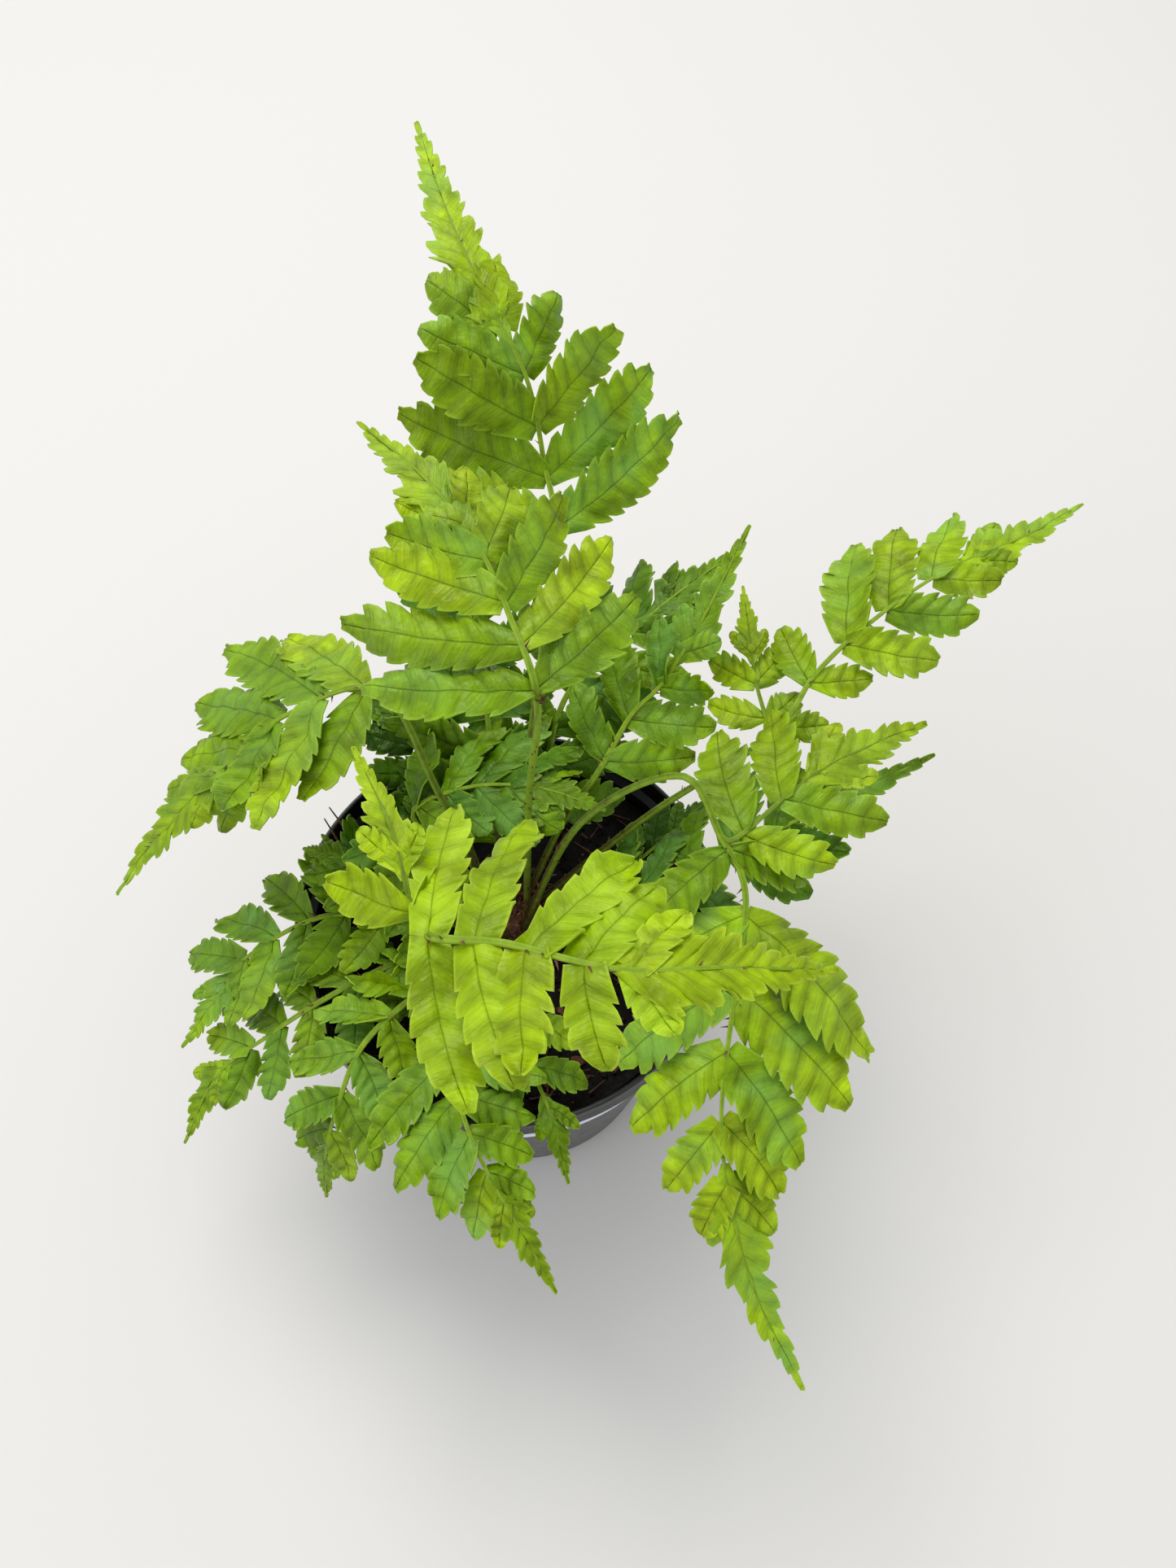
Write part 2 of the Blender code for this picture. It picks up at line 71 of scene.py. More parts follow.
# ---- Leaflets ----

LEAFLET_DROOP = 0.10
# Leaflets lean this many degrees further forward, and close up by so many towards the tip.
FORWARD_LEAN = 5
ANGLE_CLOSING = 24
ANGLE_PLAY = 4
LEAFLET_TILT = 8
TILT_PLAY = 7
TWIST_PLAY = 16
# A share of the pitch lies below the first pair, and half of each leaflet's own foot.
PAIR_START = 0.12
LEAFLET_FOOT = 2.2 * MM
# Past this much blade the stipe's last bend no longer turns a leaflet.
FOOT_BEND = 9 * MM
FOOT_BEND_SHARE = 0.18
LEAFLET_GROWTH = 2.0 * MM
# A frond whose leaflets stay below this length in mm grows them by a share, and has more at its foot.
LONG_LEAFLET = 15
SHORT_GROWTH = 0.58
EARLY_PAIRS = 3
# Half a leaflet's width, by the room between pairs and by its length.
LEAFLET_FULLNESS = 1.32
LEAFLET_STOUTNESS = 0.155
STOUTNESS_BASE = 1.2 * MM
NARROW_FOOT = 0.26
# Leaflets that stand out by more than this angle are narrower, with broad feet.
BROAD_ANGLE = 70
BROAD_FULLNESS = 0.92
BROAD_FOOT = 0.66
BROADEST_FOOT = 0.85
WIDEST_ABOVE, WIDEST_BELOW = 0.42, 0.58
EAR_PLACE, EAR_LENGTH, EAR = 0.14, 0.06, 0.12
END_START = 0.56
BLUNTNESS = 0.18

# ---- Merged tips ----

# The pair of leaflets that is joined to the tip's foot, by the tip's length and by their own.
JOINED_PLACE = 0.0325
JOINED_WIDTH = 0.0806
JOINED_STOUTNESS = 0.34
JOINED_PLAY = 0.35
# The tip's reach to each side, by the last leaflet and by the blade's merged_width.
TIP_REACH, TIP_SIDE, TIP_SPREAD = 0.82, 0.6, 0.85
LOBE_PITCH = 0.68
TIP_LEAD = 0.2
WING = 0.14
WING_START = 0.03
WING_SPREAD = 3.4
NOTCH_SHARPNESS = 2.2
FIRST_NOTCH, LAST_NOTCH = 0.54, 0.10

# ---- Leaf surface ----

LEAF_THICKNESS = 0.28 * MM
LEAF_COLUMNS = 10
# Each tooth's rows, as shares of its length, and how far the margin stands out at each.
TOOTH_PHASES = (0.0, 0.34, 0.68, 0.92)
TOOTH_RISE = (0.0, 0.6, 0.95, 1.0)
TOOTH_MEAN = 0.4
TOOTH_HOOK = 0.7
TOOTH_SPACING = 5.2 * MM
UPPER_TOOTH = 0.30
LOWER_TOOTH = 0.22
UNEVEN_TEETH = 0.7
VEIN_LEAN = 0.80
LEAN_START = 0.12
VEIN_RELIEF = 0.33 * MM
MIDRIB_GROOVE = 0.22 * MM
GROOVE_REACH = 0.1
MIDRIB_CROWDING = 0.62
TOOTHLESS_FOOT, SMOOTH_FOOT = 0.06, 0.1
RUFFLE_SIZE = 6 * MM
PUCKER = 1.35 * MM
PUCKER_SIZE = 4.6 * MM

# ---- Stalks ----

RACHIS_SIDES = 10
STIPE_RADIUS = 0.85 * MM
RACHIS_RADIUS = 0.6 * MM
TIP_RADIUS = 0.13 * MM
GROOVE_SHARE = 0.42
RING_SPACING = 1.6 * MM
RACHIS_END = 0.96
BRANCH_END = 0.94
# A stalk is less stout on a shorter frond, up to this length.
FULL_STOUTNESS_LENGTH = 190 * MM
LEAST_STOUTNESS = 0.55
# Scales to a length of stalk.
STIPE_SCALES = 0.6 / MM
RACHIS_SCALES = 0.25 / MM
SCALE_LENGTH = 2.0 * MM
SCALE_WIDTH = 0.6 * MM
SEAM = 0.004 * MM
# The places of the stalk's and the scales' finishes on a frond, after its leaf tissue.
STALK, SCALES = 1, 2

# ---- Pot, sticker and soil ----

POT_FOOT = 32.5 * MM
BAND_HEIGHT = 7 * MM
BAND_STEP = 1.6 * MM
POT_BASE = 1.4 * MM
POT_WALL = 1.0 * MM
DRAINS = 6
DRAIN_RADIUS = 4 * MM
DRAIN_RING = 0.62
STICKER_BELOW_RIM = 8.5 * MM
STICKER_HEIGHT = 12 * MM
# In radians, round the pot from +X.
STICKER_FROM, STICKER_TO = math.radians(-112), math.radians(-42)
STICKER_CORNER = 1.6 * MM
STICKER_THICKNESS = 0.15 * MM
STICKER_STANDOFF = 0.45 * MM
SOIL_EDGE = 0.2 * MM
SOIL_CROWNING = 1.5 * MM
SOIL_CRUMBS = 900
SOIL_FIBRES = 260
BROWN_CRUMBS = 0.22
CROWN_SCALES = 420


@dataclass
class Blade:
    """The leafy part of a frond, along a route of points in millimetres from the middle of the rim.

    left and right give the free leaflets' lengths from the foot up, and 0 leaves one out. Past
    merged_from, a share of the blade's length, the leaflets join into one lobed tip that is merged_width
    wide at its start. The leaflets lean forward by angle, in degrees from the rachis, less and less
    towards the tip.
    """

    route: list
    left: list
    right: list
    merged_from: float
    merged_width: float
    angle: float = 58


@dataclass
class Frond:
    """One frond, which grows from the crown at root_turn degrees and root_ring from its middle.

    tone is how light its green is, from 0, a dark old one, to 1, a young one; the low tones of the inner
    fronds are painted shade for the shaded middle of the plant. arch is how far the stipe bows upward, as a
    share of its length, unless stipe gives its own points. A branch leaves the left of the blade's foot.
    """

    name: str
    root_turn: float
    root_ring: float
    tone: float
    blade: Blade
    arch: float = 0.12
    stipe: tuple = ()
    branch: Blade = None


# The low tones of frond_low_centre, frond_inner_back, frond_inner_right, frond_back_inner and the two
# frond_inner_low fronds are painted shade for the shaded middle of the plant.
FRONDS = [
    Frond("frond_back_tall", 84, INNER_RING, 0.68, Blade(
        [(10, 56, 52), (8, 68, 62), (5, 76, 75), (-2, 86, 84), (-10, 103, 91), (-17, 126, 95)],
        left=[27, 29, 25, 19], right=[33, 29, 22, 16], merged_from=0.44, merged_width=17, angle=55,
    ), arch=0.02),
    Frond("frond_centre", 10, INNER_RING, 0.68, Blade(
        [(9, -2, 80), (5, 9, 86), (0, 19, 91), (-8, 29, 95), (-20, 42, 95)],
        left=[24, 25, 20, 14], right=[22, 24, 18, 12], merged_from=0.52, merged_width=13, angle=60,
    )),
    Frond("frond_left", 156, INNER_RING, 0.62, Blade(
        [(-21, 20, 52), (-39, 18, 47), (-53, 12, 37), (-68, 2, 25), (-75, -5, 19)],
        left=[19, 23, 17, 13], right=[26, 32, 24, 17], merged_from=0.54, merged_width=12, angle=52,
    )),
    Frond("frond_near", 266, INNER_RING, 0.6, Blade(
        [(-3, -46, 94), (7, -49, 98), (20, -53, 100), (33, -52, 98), (47, -50, 92)],
        left=[17, 17, 15, 12], right=[19, 15, 13, 10], merged_from=0.5, merged_width=10, angle=80,
    ), branch=Blade(
        [(-5, -43, 93), (-8, -33, 96), (-14, -21, 97)],
        left=[7], right=[5], merged_from=0.3, merged_width=9,
    )),
    Frond("frond_right_front", 322, INNER_RING, 0.66, Blade(
        [(39, -10, 52), (43, -19, 48), (41, -34, 39), (39, -54, 27), (44, -74, 14), (53, -90, 4)],
        left=[13, 27, 24, 20, 14], right=[16, 20, 22, 18, 12], merged_from=0.6, merged_width=11, angle=60,
    ), stipe=[(15, -1, 40), (32, -1, 57)], branch=Blade(
        [(42, -10, 52), (54, 0, 54), (66, 7, 54), (77, 13, 52)],
        left=[13, 12], right=[8, 10], merged_from=0.42, merged_width=14,
    )),
    Frond("frond_right_back", 40, OUTER_RING, 0.68, Blade(
        [(51, 18, 40), (60, 29, 45), (70, 37, 50), (84, 46, 54), (102, 55, 55), (115, 64, 54)],
        left=[0, 11, 19, 18, 14], right=[7, 10, 16, 14, 10], merged_from=0.64, merged_width=11, angle=55,
    ), arch=0.05, branch=Blade(
        [(51, 20, 40), (49, 29, 42), (48, 38, 45), (47, 48, 48)],
        left=[7, 6], right=[5, 6], merged_from=0.5, merged_width=8,
    )),
    Frond("frond_right_inner", 62, OUTER_RING, 0.5, Blade(
        [(19, 18, 28), (25, 26, 35), (31, 29, 42), (38, 36, 52), (47, 51, 62)],
        left=[15, 18, 12], right=[16, 15, 10], merged_from=0.5, merged_width=12,
    )),
    Frond("frond_low_centre", 147, OUTER_RING, 0.44, Blade(
        [(-19, 14, 18), (-7, 17, 23), (7, 15, 26), (20, 10, 26)],
        left=[10, 13, 13, 9], right=[7, 6, 11, 8], merged_from=0.62, merged_width=9,
    )),
    Frond("frond_front", 258, OUTER_RING, 0.6, Blade(
        [(-9, -33, 12), (-6, -46, 11), (-1, -56, 8), (5, -65, 4), (11, -74, -2)],
        left=[15, 12, 10, 7], right=[19, 16, 12, 9], merged_from=0.6, merged_width=9, angle=60,
    )),
    Frond("frond_left_low_back", 188, OUTER_RING, 0.55, Blade(
        [(-38, -5, 8), (-53, -11, 2), (-60, -18, -4), (-67, -26, -10)],
        left=[9, 10, 8], right=[12, 11, 9], merged_from=0.58, merged_width=8,
    )),
    Frond("frond_left_low_middle", 211, OUTER_RING, 0.55, Blade(
        [(-36, -21, 4), (-48, -25, -5), (-60, -31, -13), (-68, -42, -24)],
        left=[8, 9, 7], right=[9, 10, 8], merged_from=0.58, merged_width=8,
    )),
    Frond("frond_left_low_front", 234, OUTER_RING, 0.55, Blade(
        [(-26, -31, 8), (-31, -42, 3), (-35, -48, -10), (-37, -53, -24)],
        left=[8, 9, 6], right=[9, 8, 6], merged_from=0.6, merged_width=6,
    )),
    # Painted shade: the low tones from here to frond_inner_low_left darken the fronds in the middle of the
    # plant.
    Frond("frond_inner_back", 106, OUTER_RING, 0.38, Blade(
        [(-4, 32, 24), (-6, 44, 36), (-12, 58, 44), (-22, 72, 48)],
        left=[14, 13, 9], right=[11, 12, 9], merged_from=0.55, merged_width=10,
    ), arch=0.02),
    Frond("frond_inner_right", 356, OUTER_RING, 0.36, Blade(
        [(34, -1, 18), (50, 4, 25), (66, 11, 29), (85, 20, 30)],
        left=[9, 11, 8], right=[10, 10, 8], merged_from=0.5, merged_width=11,
    )),
    Frond("frond_back_inner", 84, OUTER_RING, 0.38, Blade(
        [(12, 36, 27), (23, 46, 32), (34, 55, 36), (48, 66, 38)],
        left=[13, 14, 10], right=[11, 10, 8], merged_from=0.55, merged_width=10,
    ), arch=0.02),
    Frond("frond_inner_low_right", 18, OUTER_RING, 0.28, Blade(
        [(17, 3, 4), (27, 8, 8), (36, 15, 11), (46, 23, 12)],
        left=[5, 7, 6], right=[4, 6, 6], merged_from=0.58, merged_width=8,
    )),
    Frond("frond_inner_low_left", 127, OUTER_RING, 0.28, Blade(
        [(-12, 22, 6), (-19, 30, 13), (-25, 38, 18), (-34, 46, 20)],
        left=[8, 9, 7], right=[9, 9, 7], merged_from=0.58, merged_width=8,
    ), arch=0.02),
    Frond("frond_left_small", 167, OUTER_RING, 0.45, Blade(
        [(-26, 2, 10), (-33, 6, 13), (-42, 9, 12)],
        left=[7, 6], right=[9, 7], merged_from=0.5, merged_width=7,
    )),
    Frond("frond_front_small", 296, OUTER_RING, 0.5, Blade(
        [(5, -32, 4), (9, -42, 4), (11, -48, 2), (13, -55, -2)],
        left=[7], right=[6], merged_from=0.4, merged_width=8,
    )),
]


class Path:
    """A smooth curve through points, read by the distance along it."""

    def __init__(self, points):
        ends = [points[0] * 2 - points[1], *points, points[-1] * 2 - points[-2]]
        self.places = []
        self.knots = []
        for spans in zip(ends, ends[1:], ends[2:], ends[3:]):
            self.knots.append(len(self.places))
            self.places += [spline_point(*spans, i / SPLINE_STEPS) for i in range(SPLINE_STEPS)]
        self.knots.append(len(self.places))
        self.places.append(points[-1])
        self.lengths = [0.0]
        for a, b in zip(self.places, self.places[1:]):
            self.lengths.append(self.lengths[-1] + (b - a).length)
        self.headings = [(b - a).normalized() for a, b in zip(self.places, self.places[1:])]

    def at(self, distance):
        """The place and the heading at this distance, straight on past either end."""
        i = 1
        while i < len(self.lengths) - 1 and self.lengths[i] < distance:
            i += 1
        start, end = self.places[i - 1], self.places[i]
        share = (distance - self.lengths[i - 1]) / (self.lengths[i] - self.lengths[i - 1])
        inner = min(max(share, 0), 1)
        before = self.headings[max(i - 2, 0)]
        after = self.headings[min(i, len(self.headings) - 1)]
        here = self.headings[i - 1]
        heading = before.lerp(here, inner + 0.5) if inner < 0.5 else here.lerp(after, inner - 0.5)
        return start.lerp(end, share), heading.normalized()


def around(turn, ring, height=0.0):
    """A point this far from the pot's axis."""
    return Vector((ring * math.cos(turn), ring * math.sin(turn), height))


def spline_point(before, start, end, after, t):
    """A Catmull-Rom point between start and end."""
    return 0.5 * (
        2 * start
        + (end - before) * t
        + (2 * before - 5 * start + 4 * end - after) * t**2
        + (3 * start - before - 3 * end + after) * t**3
    )


# ---- Materials ----

# Nearly all of a noise pattern lies in this range.
NOISE_RANGE = (0.3, 0.7)


def colour(code):
    """A linear colour from an sRGB hex value."""
    channels = [int(code[i : i + 2], 16) / 255 for i in (1, 3, 5)]
    return (*(c / 12.92 if c <= 0.04045 else ((c + 0.055) / 1.055) ** 2.4 for c in channels), 1)


def add(tree, kind, inputs=(), stops=(), **settings):
    """Adds a shader node. inputs gives its sockets, in order or by name, a value or what feeds them: an
    output, or a node whose first output does. A map range's are the value, the range that it comes from
    and the range that it goes to. stops are a colour ramp's (position, hex) pairs.
    """
    node = tree.nodes.new("ShaderNode" + kind)
    for name, value in settings.items():
        setattr(node, name, value)
    for key, value in inputs.items() if isinstance(inputs, dict) else enumerate(inputs):
        if isinstance(value, bpy.types.Node):
            value = value.outputs[0]
        if isinstance(value, bpy.types.NodeSocket):
            tree.links.new(value, node.inputs[key])
        else:
            node.inputs[key].default_value = value
    for i, (position, code) in enumerate(stops):
        elements = node.color_ramp.elements
        element = elements[i] if i < len(elements) else elements.new(position)
        element.position = position
        element.color = colour(code)
    return node


def new_material(name):
    material = bpy.data.materials.new(name)
    material.use_nodes = True
    tree = material.node_tree
    tree.nodes.clear()
    return material, tree


def frond_tissue(name, stops, vein, edge, painted_sheen, see_through):
    """Fern lamina: thin, waxy and a little see-through, so light from behind warms it. The veins are darker
    and sunken, with a fine fan of veinlets between them, and the margin is paler. Painted highlight and
    shade follow the swells between the side veins, and a painted sheen lies in pale cool patches."""
    material, tree = new_material(name)
    leaf_map = add(tree, "UVMap", uv_map="leaf")
    axes = add(tree, "SeparateXYZ", (leaf_map.outputs["UV"],))
    along, across = axes.outputs["X"], axes.outputs["Y"]
    tone = add(tree, "Attribute", attribute_name="tone")
    parts = add(tree, "SeparateColor", (tone.outputs["Color"],))
    place = add(tree, "TexCoord")
    # Blotches about 5 mm across, where the tissue is thicker or thinner.
    blotch = add(
        tree, "TexNoise", {"Vector": place.outputs["Object"], "Scale": 1 / (5 * MM), "Detail": 3}
    )
    # Veinlets fan out a dozen to each tooth.
    stretch = add(tree, "Mapping", {"Vector": leaf_map.outputs["UV"], "Scale": (9, 1.6, 1)})
    veinlets = add(tree, "TexNoise", {"Vector": stretch, "Scale": 1, "Detail": 4})
    wobble = add(tree, "Math", (blotch.outputs["Fac"], 0.35, along), operation="MULTIPLY_ADD")
    nearest = add(tree, "Math", (wobble, 1.0), operation="PINGPONG")
    far = add(tree, "Math", (1.0, nearest), operation="SUBTRACT")
    either = add(tree, "Math", (nearest, far), operation="MINIMUM")
    centred = add(tree, "Math", (across, 2.0, -1.0), operation="MULTIPLY_ADD")
    from_midrib = add(tree, "Math", (centred,), operation="ABSOLUTE")
    # Each side vein forks in two on its way to the margin.
    spread = add(tree, "MapRange", (from_midrib, 0.3, 1.0, 0.0, 0.24))
    forked = add(tree, "Math", (either, spread), operation="SUBTRACT")
    from_fork = add(tree, "Math", (forked,), operation="ABSOLUTE")
    side_line = add(tree, "MapRange", (from_fork, 0.0, 0.08, 1, 0))
    side_fade = add(tree, "MapRange", (from_midrib, 0.2, 0.95, 0.45, 0.05))
    side_vein = add(tree, "Math", (side_line, side_fade), operation="MULTIPLY")
    midrib = add(tree, "MapRange", (from_midrib, 0.01, 0.045, 1, 0))
    veins = add(tree, "Math", (side_vein, midrib), operation="MAXIMUM")
    base = add(tree, "ValToRGB", {"Fac": parts.outputs["Red"]}, stops)
    light = add(tree, "MapRange", (blotch.outputs["Fac"], *NOISE_RANGE, 0.68, 1.3))
    fine = add(tree, "MapRange", (veinlets.outputs["Fac"], *NOISE_RANGE, 0.86, 1.12))
    # Painted highlight and shade of the relief: the tissue is painted darker in the valleys along the side
    # veins and paler at the top of each swell between them.
    swell = add(tree, "MapRange", (either, 0.0, 0.42, 0.88, 1.07))
    grained = add(tree, "Math", (light, fine), operation="MULTIPLY")
    both = add(tree, "Math", (grained, swell), operation="MULTIPLY")
    own = add(tree, "MapRange", (parts.outputs["Green"], 0, 1, 0.88, 1.12))
    value = add(tree, "Math", (both, own), operation="MULTIPLY")
    shaded = add(tree, "HueSaturation", {"Color": base, "Value": value})
    # Painted sheen: a paler, cooler colour laid over parts of some leaflets, in patches.
    painted_sheen_patches = add(
        tree, "TexNoise", {"Vector": place.outputs["Object"], "Scale": 1 / (11 * MM), "Detail": 2}
    )
    painted_sheen_mask = add(tree, "MapRange", (painted_sheen_patches.outputs["Fac"], 0.45, 0.7, 0, 0.8))
    painted_sheen_share = add(tree, "Math", (painted_sheen_mask, parts.outputs["Green"]), operation="MULTIPLY")
    sheen_painted = add(tree, "Mix", {0: painted_sheen_share, 6: shaded, 7: colour(painted_sheen)}, data_type="RGBA")
    rim = add(tree, "MapRange", (from_midrib, 0.86, 1.0, 0, 0.45))
    edged = add(tree, "Mix", {0: rim, 6: sheen_painted.outputs[2], 7: colour(edge)}, data_type="RGBA")
    vein_share = add(tree, "Math", (veins, 0.5), operation="MULTIPLY")
    veined = add(tree, "Mix", {0: vein_share, 6: edged.outputs[2], 7: colour(vein)}, data_type="RGBA")
    quilting = add(
        tree, "TexNoise", {"Vector": place.outputs["Object"], "Scale": 1 / (2.4 * MM), "Detail": 2}
    )
    lines = add(tree, "Math", (veins, -0.5, veinlets.outputs["Fac"]), operation="MULTIPLY_ADD")
    relief = add(tree, "Math", (quilting.outputs["Fac"], 3.0, lines), operation="MULTIPLY_ADD")
    bump = add(tree, "Bump", {"Height": relief, "Strength": 0.7, "Distance": 0.25 * MM})
    gloss = add(tree, "MapRange", (blotch.outputs["Fac"], *NOISE_RANGE, 0.24, 0.4))
    surface = add(
        tree,
        "BsdfPrincipled",
        {
            "Base Color": veined.outputs[2],
            "Roughness": gloss,
            "IOR": 1.47,
            "Specular Tint": colour("#E0F0B8"),
            "Normal": bump,
        },
    )
    glow = add(
        tree, "HueSaturation", {"Color": veined.outputs[2], "Hue": 0.49, "Saturation": 1.15, "Value": 1.5}
    )
    through = add(tree, "BsdfTranslucent", {"Color": glow, "Normal": bump})
    mixed = add(tree, "MixShader", (see_through, surface, through))
    add(tree, "OutputMaterial", {"Surface": mixed})
    return material


def simple_surface(name, stops, grain_mm, roughness, bump_depth_mm, shine=0.5):
    """A surface whose colour and relief follow one grain, from its darkest to its lightest stop."""
    material, tree = new_material(name)
    place = add(tree, "TexCoord")
    grain = add(
        tree,
        "TexNoise",
        {"Vector": place.outputs["Object"], "Scale": 1 / (grain_mm * MM), "Detail": 5, "Roughness": 0.65},
    )
    tint = add(tree, "ValToRGB", {"Fac": grain.outputs["Fac"]}, stops)
    rough = add(tree, "MapRange", (grain.outputs["Fac"], *NOISE_RANGE, roughness[0], roughness[1]))
    bump = add(
        tree, "Bump", {"Height": grain.outputs["Fac"], "Strength": 0.6, "Distance": bump_depth_mm * MM}
    )
    surface = add(
        tree,
        "BsdfPrincipled",
        {"Base Color": tint, "Roughness": rough, "Specular IOR Level": shine, "Normal": bump},
    )
    add(tree, "OutputMaterial", {"Surface": surface})
    return material


def build_materials():
    """The finishes, by the slot that each fills."""
    return {
        # Mid green lamina with a cool sheen, partly real gloss and partly painted sheen in pale patches.
        "fern_leaf": frond_tissue(
            "mature_fern_lamina",
            [(0.0, "#122A02"), (0.35, "#3E6A02"), (0.65, "#7A9D04"), (1.0, "#B6CC12")],
            vein="#2A4E08",
            edge="#A6C83C",
            # The colour of the painted sheen patches.
            painted_sheen="#7CAF4C",
            see_through=0.28,
        ),
        # A newly opened frond, thinner and yellower, with hardly darker veins.
        "young_fern_leaf": frond_tissue(
            "young_fern_lamina",
            [(0.0, "#568202"), (0.5, "#8AAA02"), (1.0, "#B4CC0C")],
            vein="#55800A",
            edge="#C2D840",
            # The colour of the painted sheen patches.
            painted_sheen="#B6D636",
            see_through=0.32,
        ),
        "stalk": stalk_finish(),
        # Papery brown scales, translucent buff at their thin ends.
        "crown_scales": simple_surface(
            "papery_fern_scales",
            [(0.3, "#24120A"), (0.55, "#5A3216"), (0.75, "#9A6A38")],
            grain_mm=1.2, roughness=(0.55, 0.8), bump_depth_mm=0.1,
        ),
        # Glossy black polypropylene, with the faint drawn grain of a thin vacuum-formed wall.
        "pot_plastic": simple_surface(
            "black_polypropylene",
            [(0.35, "#070707"), (0.65, "#101010")],
            grain_mm=2.2, roughness=(0.26, 0.4), bump_depth_mm=0.03,
        ),
        # Coated label paper, bluish white and smooth, a little dusty.
        "sticker": simple_surface(
            "coated_label_paper",
            [(0.3, "#D6DAEA"), (0.7, "#E6E9F6")],
            grain_mm=1.4, roughness=(0.35, 0.5), bump_depth_mm=0.02,
        ),
        # Wet peat: nearly black, rough, with a damp glint on its crumbs.
        "soil": simple_surface(
            "moist_peat",
            [(0.35, "#050403"), (0.55, "#0D0907"), (0.75, "#22160F")],
            grain_mm=1.6, roughness=(0.5, 0.95), bump_depth_mm=0.4, shine=0.15,
        ),
        # Bark and coir bits in the peat, reddish brown and dry.
        "bark": simple_surface(
            "shredded_pine_bark",
            [(0.3, "#2C140B"), (0.55, "#5E3220"), (0.8, "#9A6244")],
            grain_mm=1.1, roughness=(0.75, 0.95), bump_depth_mm=0.3,
        ),
        # Dead leaf tissue, straw brown and dull.
        "dry_leaf": simple_surface(
            "withered_fern_tissue",
            [(0.3, "#4A341C"), (0.55, "#84643A"), (0.8, "#B9986A")],
            grain_mm=1.5, roughness=(0.7, 0.9), bump_depth_mm=0.15,
        ),
    }


def stalk_finish():
    """Smooth green stalk, brown at the crown and along its groove. tone's red gives the share of brown."""
    material, tree = new_material("fern_stalk")
    tone = add(tree, "Attribute", attribute_name="tone")
    parts = add(tree, "SeparateColor", (tone.outputs["Color"],))
    place = add(tree, "TexCoord")
    grain = add(
        tree, "TexNoise", {"Vector": place.outputs["Object"], "Scale": 1 / (1.5 * MM), "Detail": 4}
    )
    mottle = add(
        tree, "Math", (grain.outputs["Fac"], 0.5, parts.outputs["Red"]), operation="MULTIPLY_ADD"
    )
    shifted = add(tree, "Math", (mottle, 0.25), operation="SUBTRACT")
    tint = add(
        tree,
        "ValToRGB",
        {"Fac": shifted},
        [(0.0, "#8FA82A"), (0.35, "#66851C"), (0.65, "#4E4C1A"), (1.0, "#24160A")],
    )
    bump = add(tree, "Bump", {"Height": grain.outputs["Fac"], "Strength": 0.4, "Distance": 0.1 * MM})
    surface = add(
        tree,
        "BsdfPrincipled",
        {"Base Color": tint, "Roughness": 0.5, "Specular Tint": colour("#C8DC8A"), "Normal": bump},
    )
    add(tree, "OutputMaterial", {"Surface": surface})
    return material


# ---- Building ----


def finished(name, bm, *materials, sharp=40):
    """Closes a bmesh into a named object that stands at the origin."""
    mesh = bpy.data.meshes.new(name)
    bm.to_mesh(mesh)
    bm.free()
    for material in materials:
        mesh.materials.append(material)
    mesh.shade_smooth()
    mesh.set_sharp_from_angle(angle=math.radians(sharp))
    made = bpy.data.objects.new(name, mesh)
    bpy.context.scene.collection.objects.link(made)
    return made


def hand_in(piece, slot, *nodes):
    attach(piece, "root")
    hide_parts(*nodes)


def grid(bm, rows, columns):
    """A flat grid, and each vertex with its row and column."""
    made = bmesh.ops.create_grid(bm, x_segments=rows - 1, y_segments=columns - 1, size=1)["verts"]
    return [
        (vert, round((vert.co.x + 1) / 2 * (rows - 1)), round((vert.co.y + 1) / 2 * (columns - 1)))
        for vert in made
    ]


def tone_layer(bm):
    """Each vertex's tone: how light its green is, or on a stalk or scale its share of brown, then its
    leaflet's own shade, and its place from foot to tip."""
    return bm.verts.layers.float_color.get("tone") or bm.verts.layers.float_color.new("tone")


@dataclass
class Sheet:
    """One leafy sheet along an axis. outline(share, sign) gives the half width at a share of the length."""

    axis: object
    length: float
    width: float
    teeth: int
    outline: object
    tone: tuple
    cup: float
    ruffle: float
    seed: float
    lower_tooth: float = LOWER_TOOTH
    tooth_size: float = 1.0
    relief: float = 1.0


def add_sheet(bm, sheet):
    """A toothed, veined sheet, whose rows lean forward from the midrib to the margin as side veins do."""
    tone = tone_layer(bm)
    leaf_map = bm.loops.layers.uv.get("leaf") or bm.loops.layers.uv.new("leaf")
    rows = sheet.teeth * len(TOOTH_PHASES) + 1
    cells = grid(bm, rows, LEAF_COLUMNS + 1)
    lean = VEIN_LEAN * sheet.width / sheet.length
    marks = {}
    for vert, row, column in cells:
        tooth, step = divmod(row, len(TOOTH_PHASES))
        phase = TOOTH_PHASES[step]
        share = (tooth + phase) / sheet.teeth
        out = column / LEAF_COLUMNS * 2 - 1
        out *= MIDRIB_CROWDING + (1 - MIDRIB_CROWDING) * out * out
        marks[vert] = (tooth + phase, (out + 1) / 2)
        vert.co = sheet_point(sheet, share, phase, TOOTH_RISE[step], out, lean)
        vert[tone] = (sheet.tone[0] + 0.12 * share, sheet.tone[1], share, 1)
    faces = {face for vert in marks for face in vert.link_faces}
    for face in faces:
        for loop in face.loops:
            loop[leaf_map].uv = marks[loop.vert]


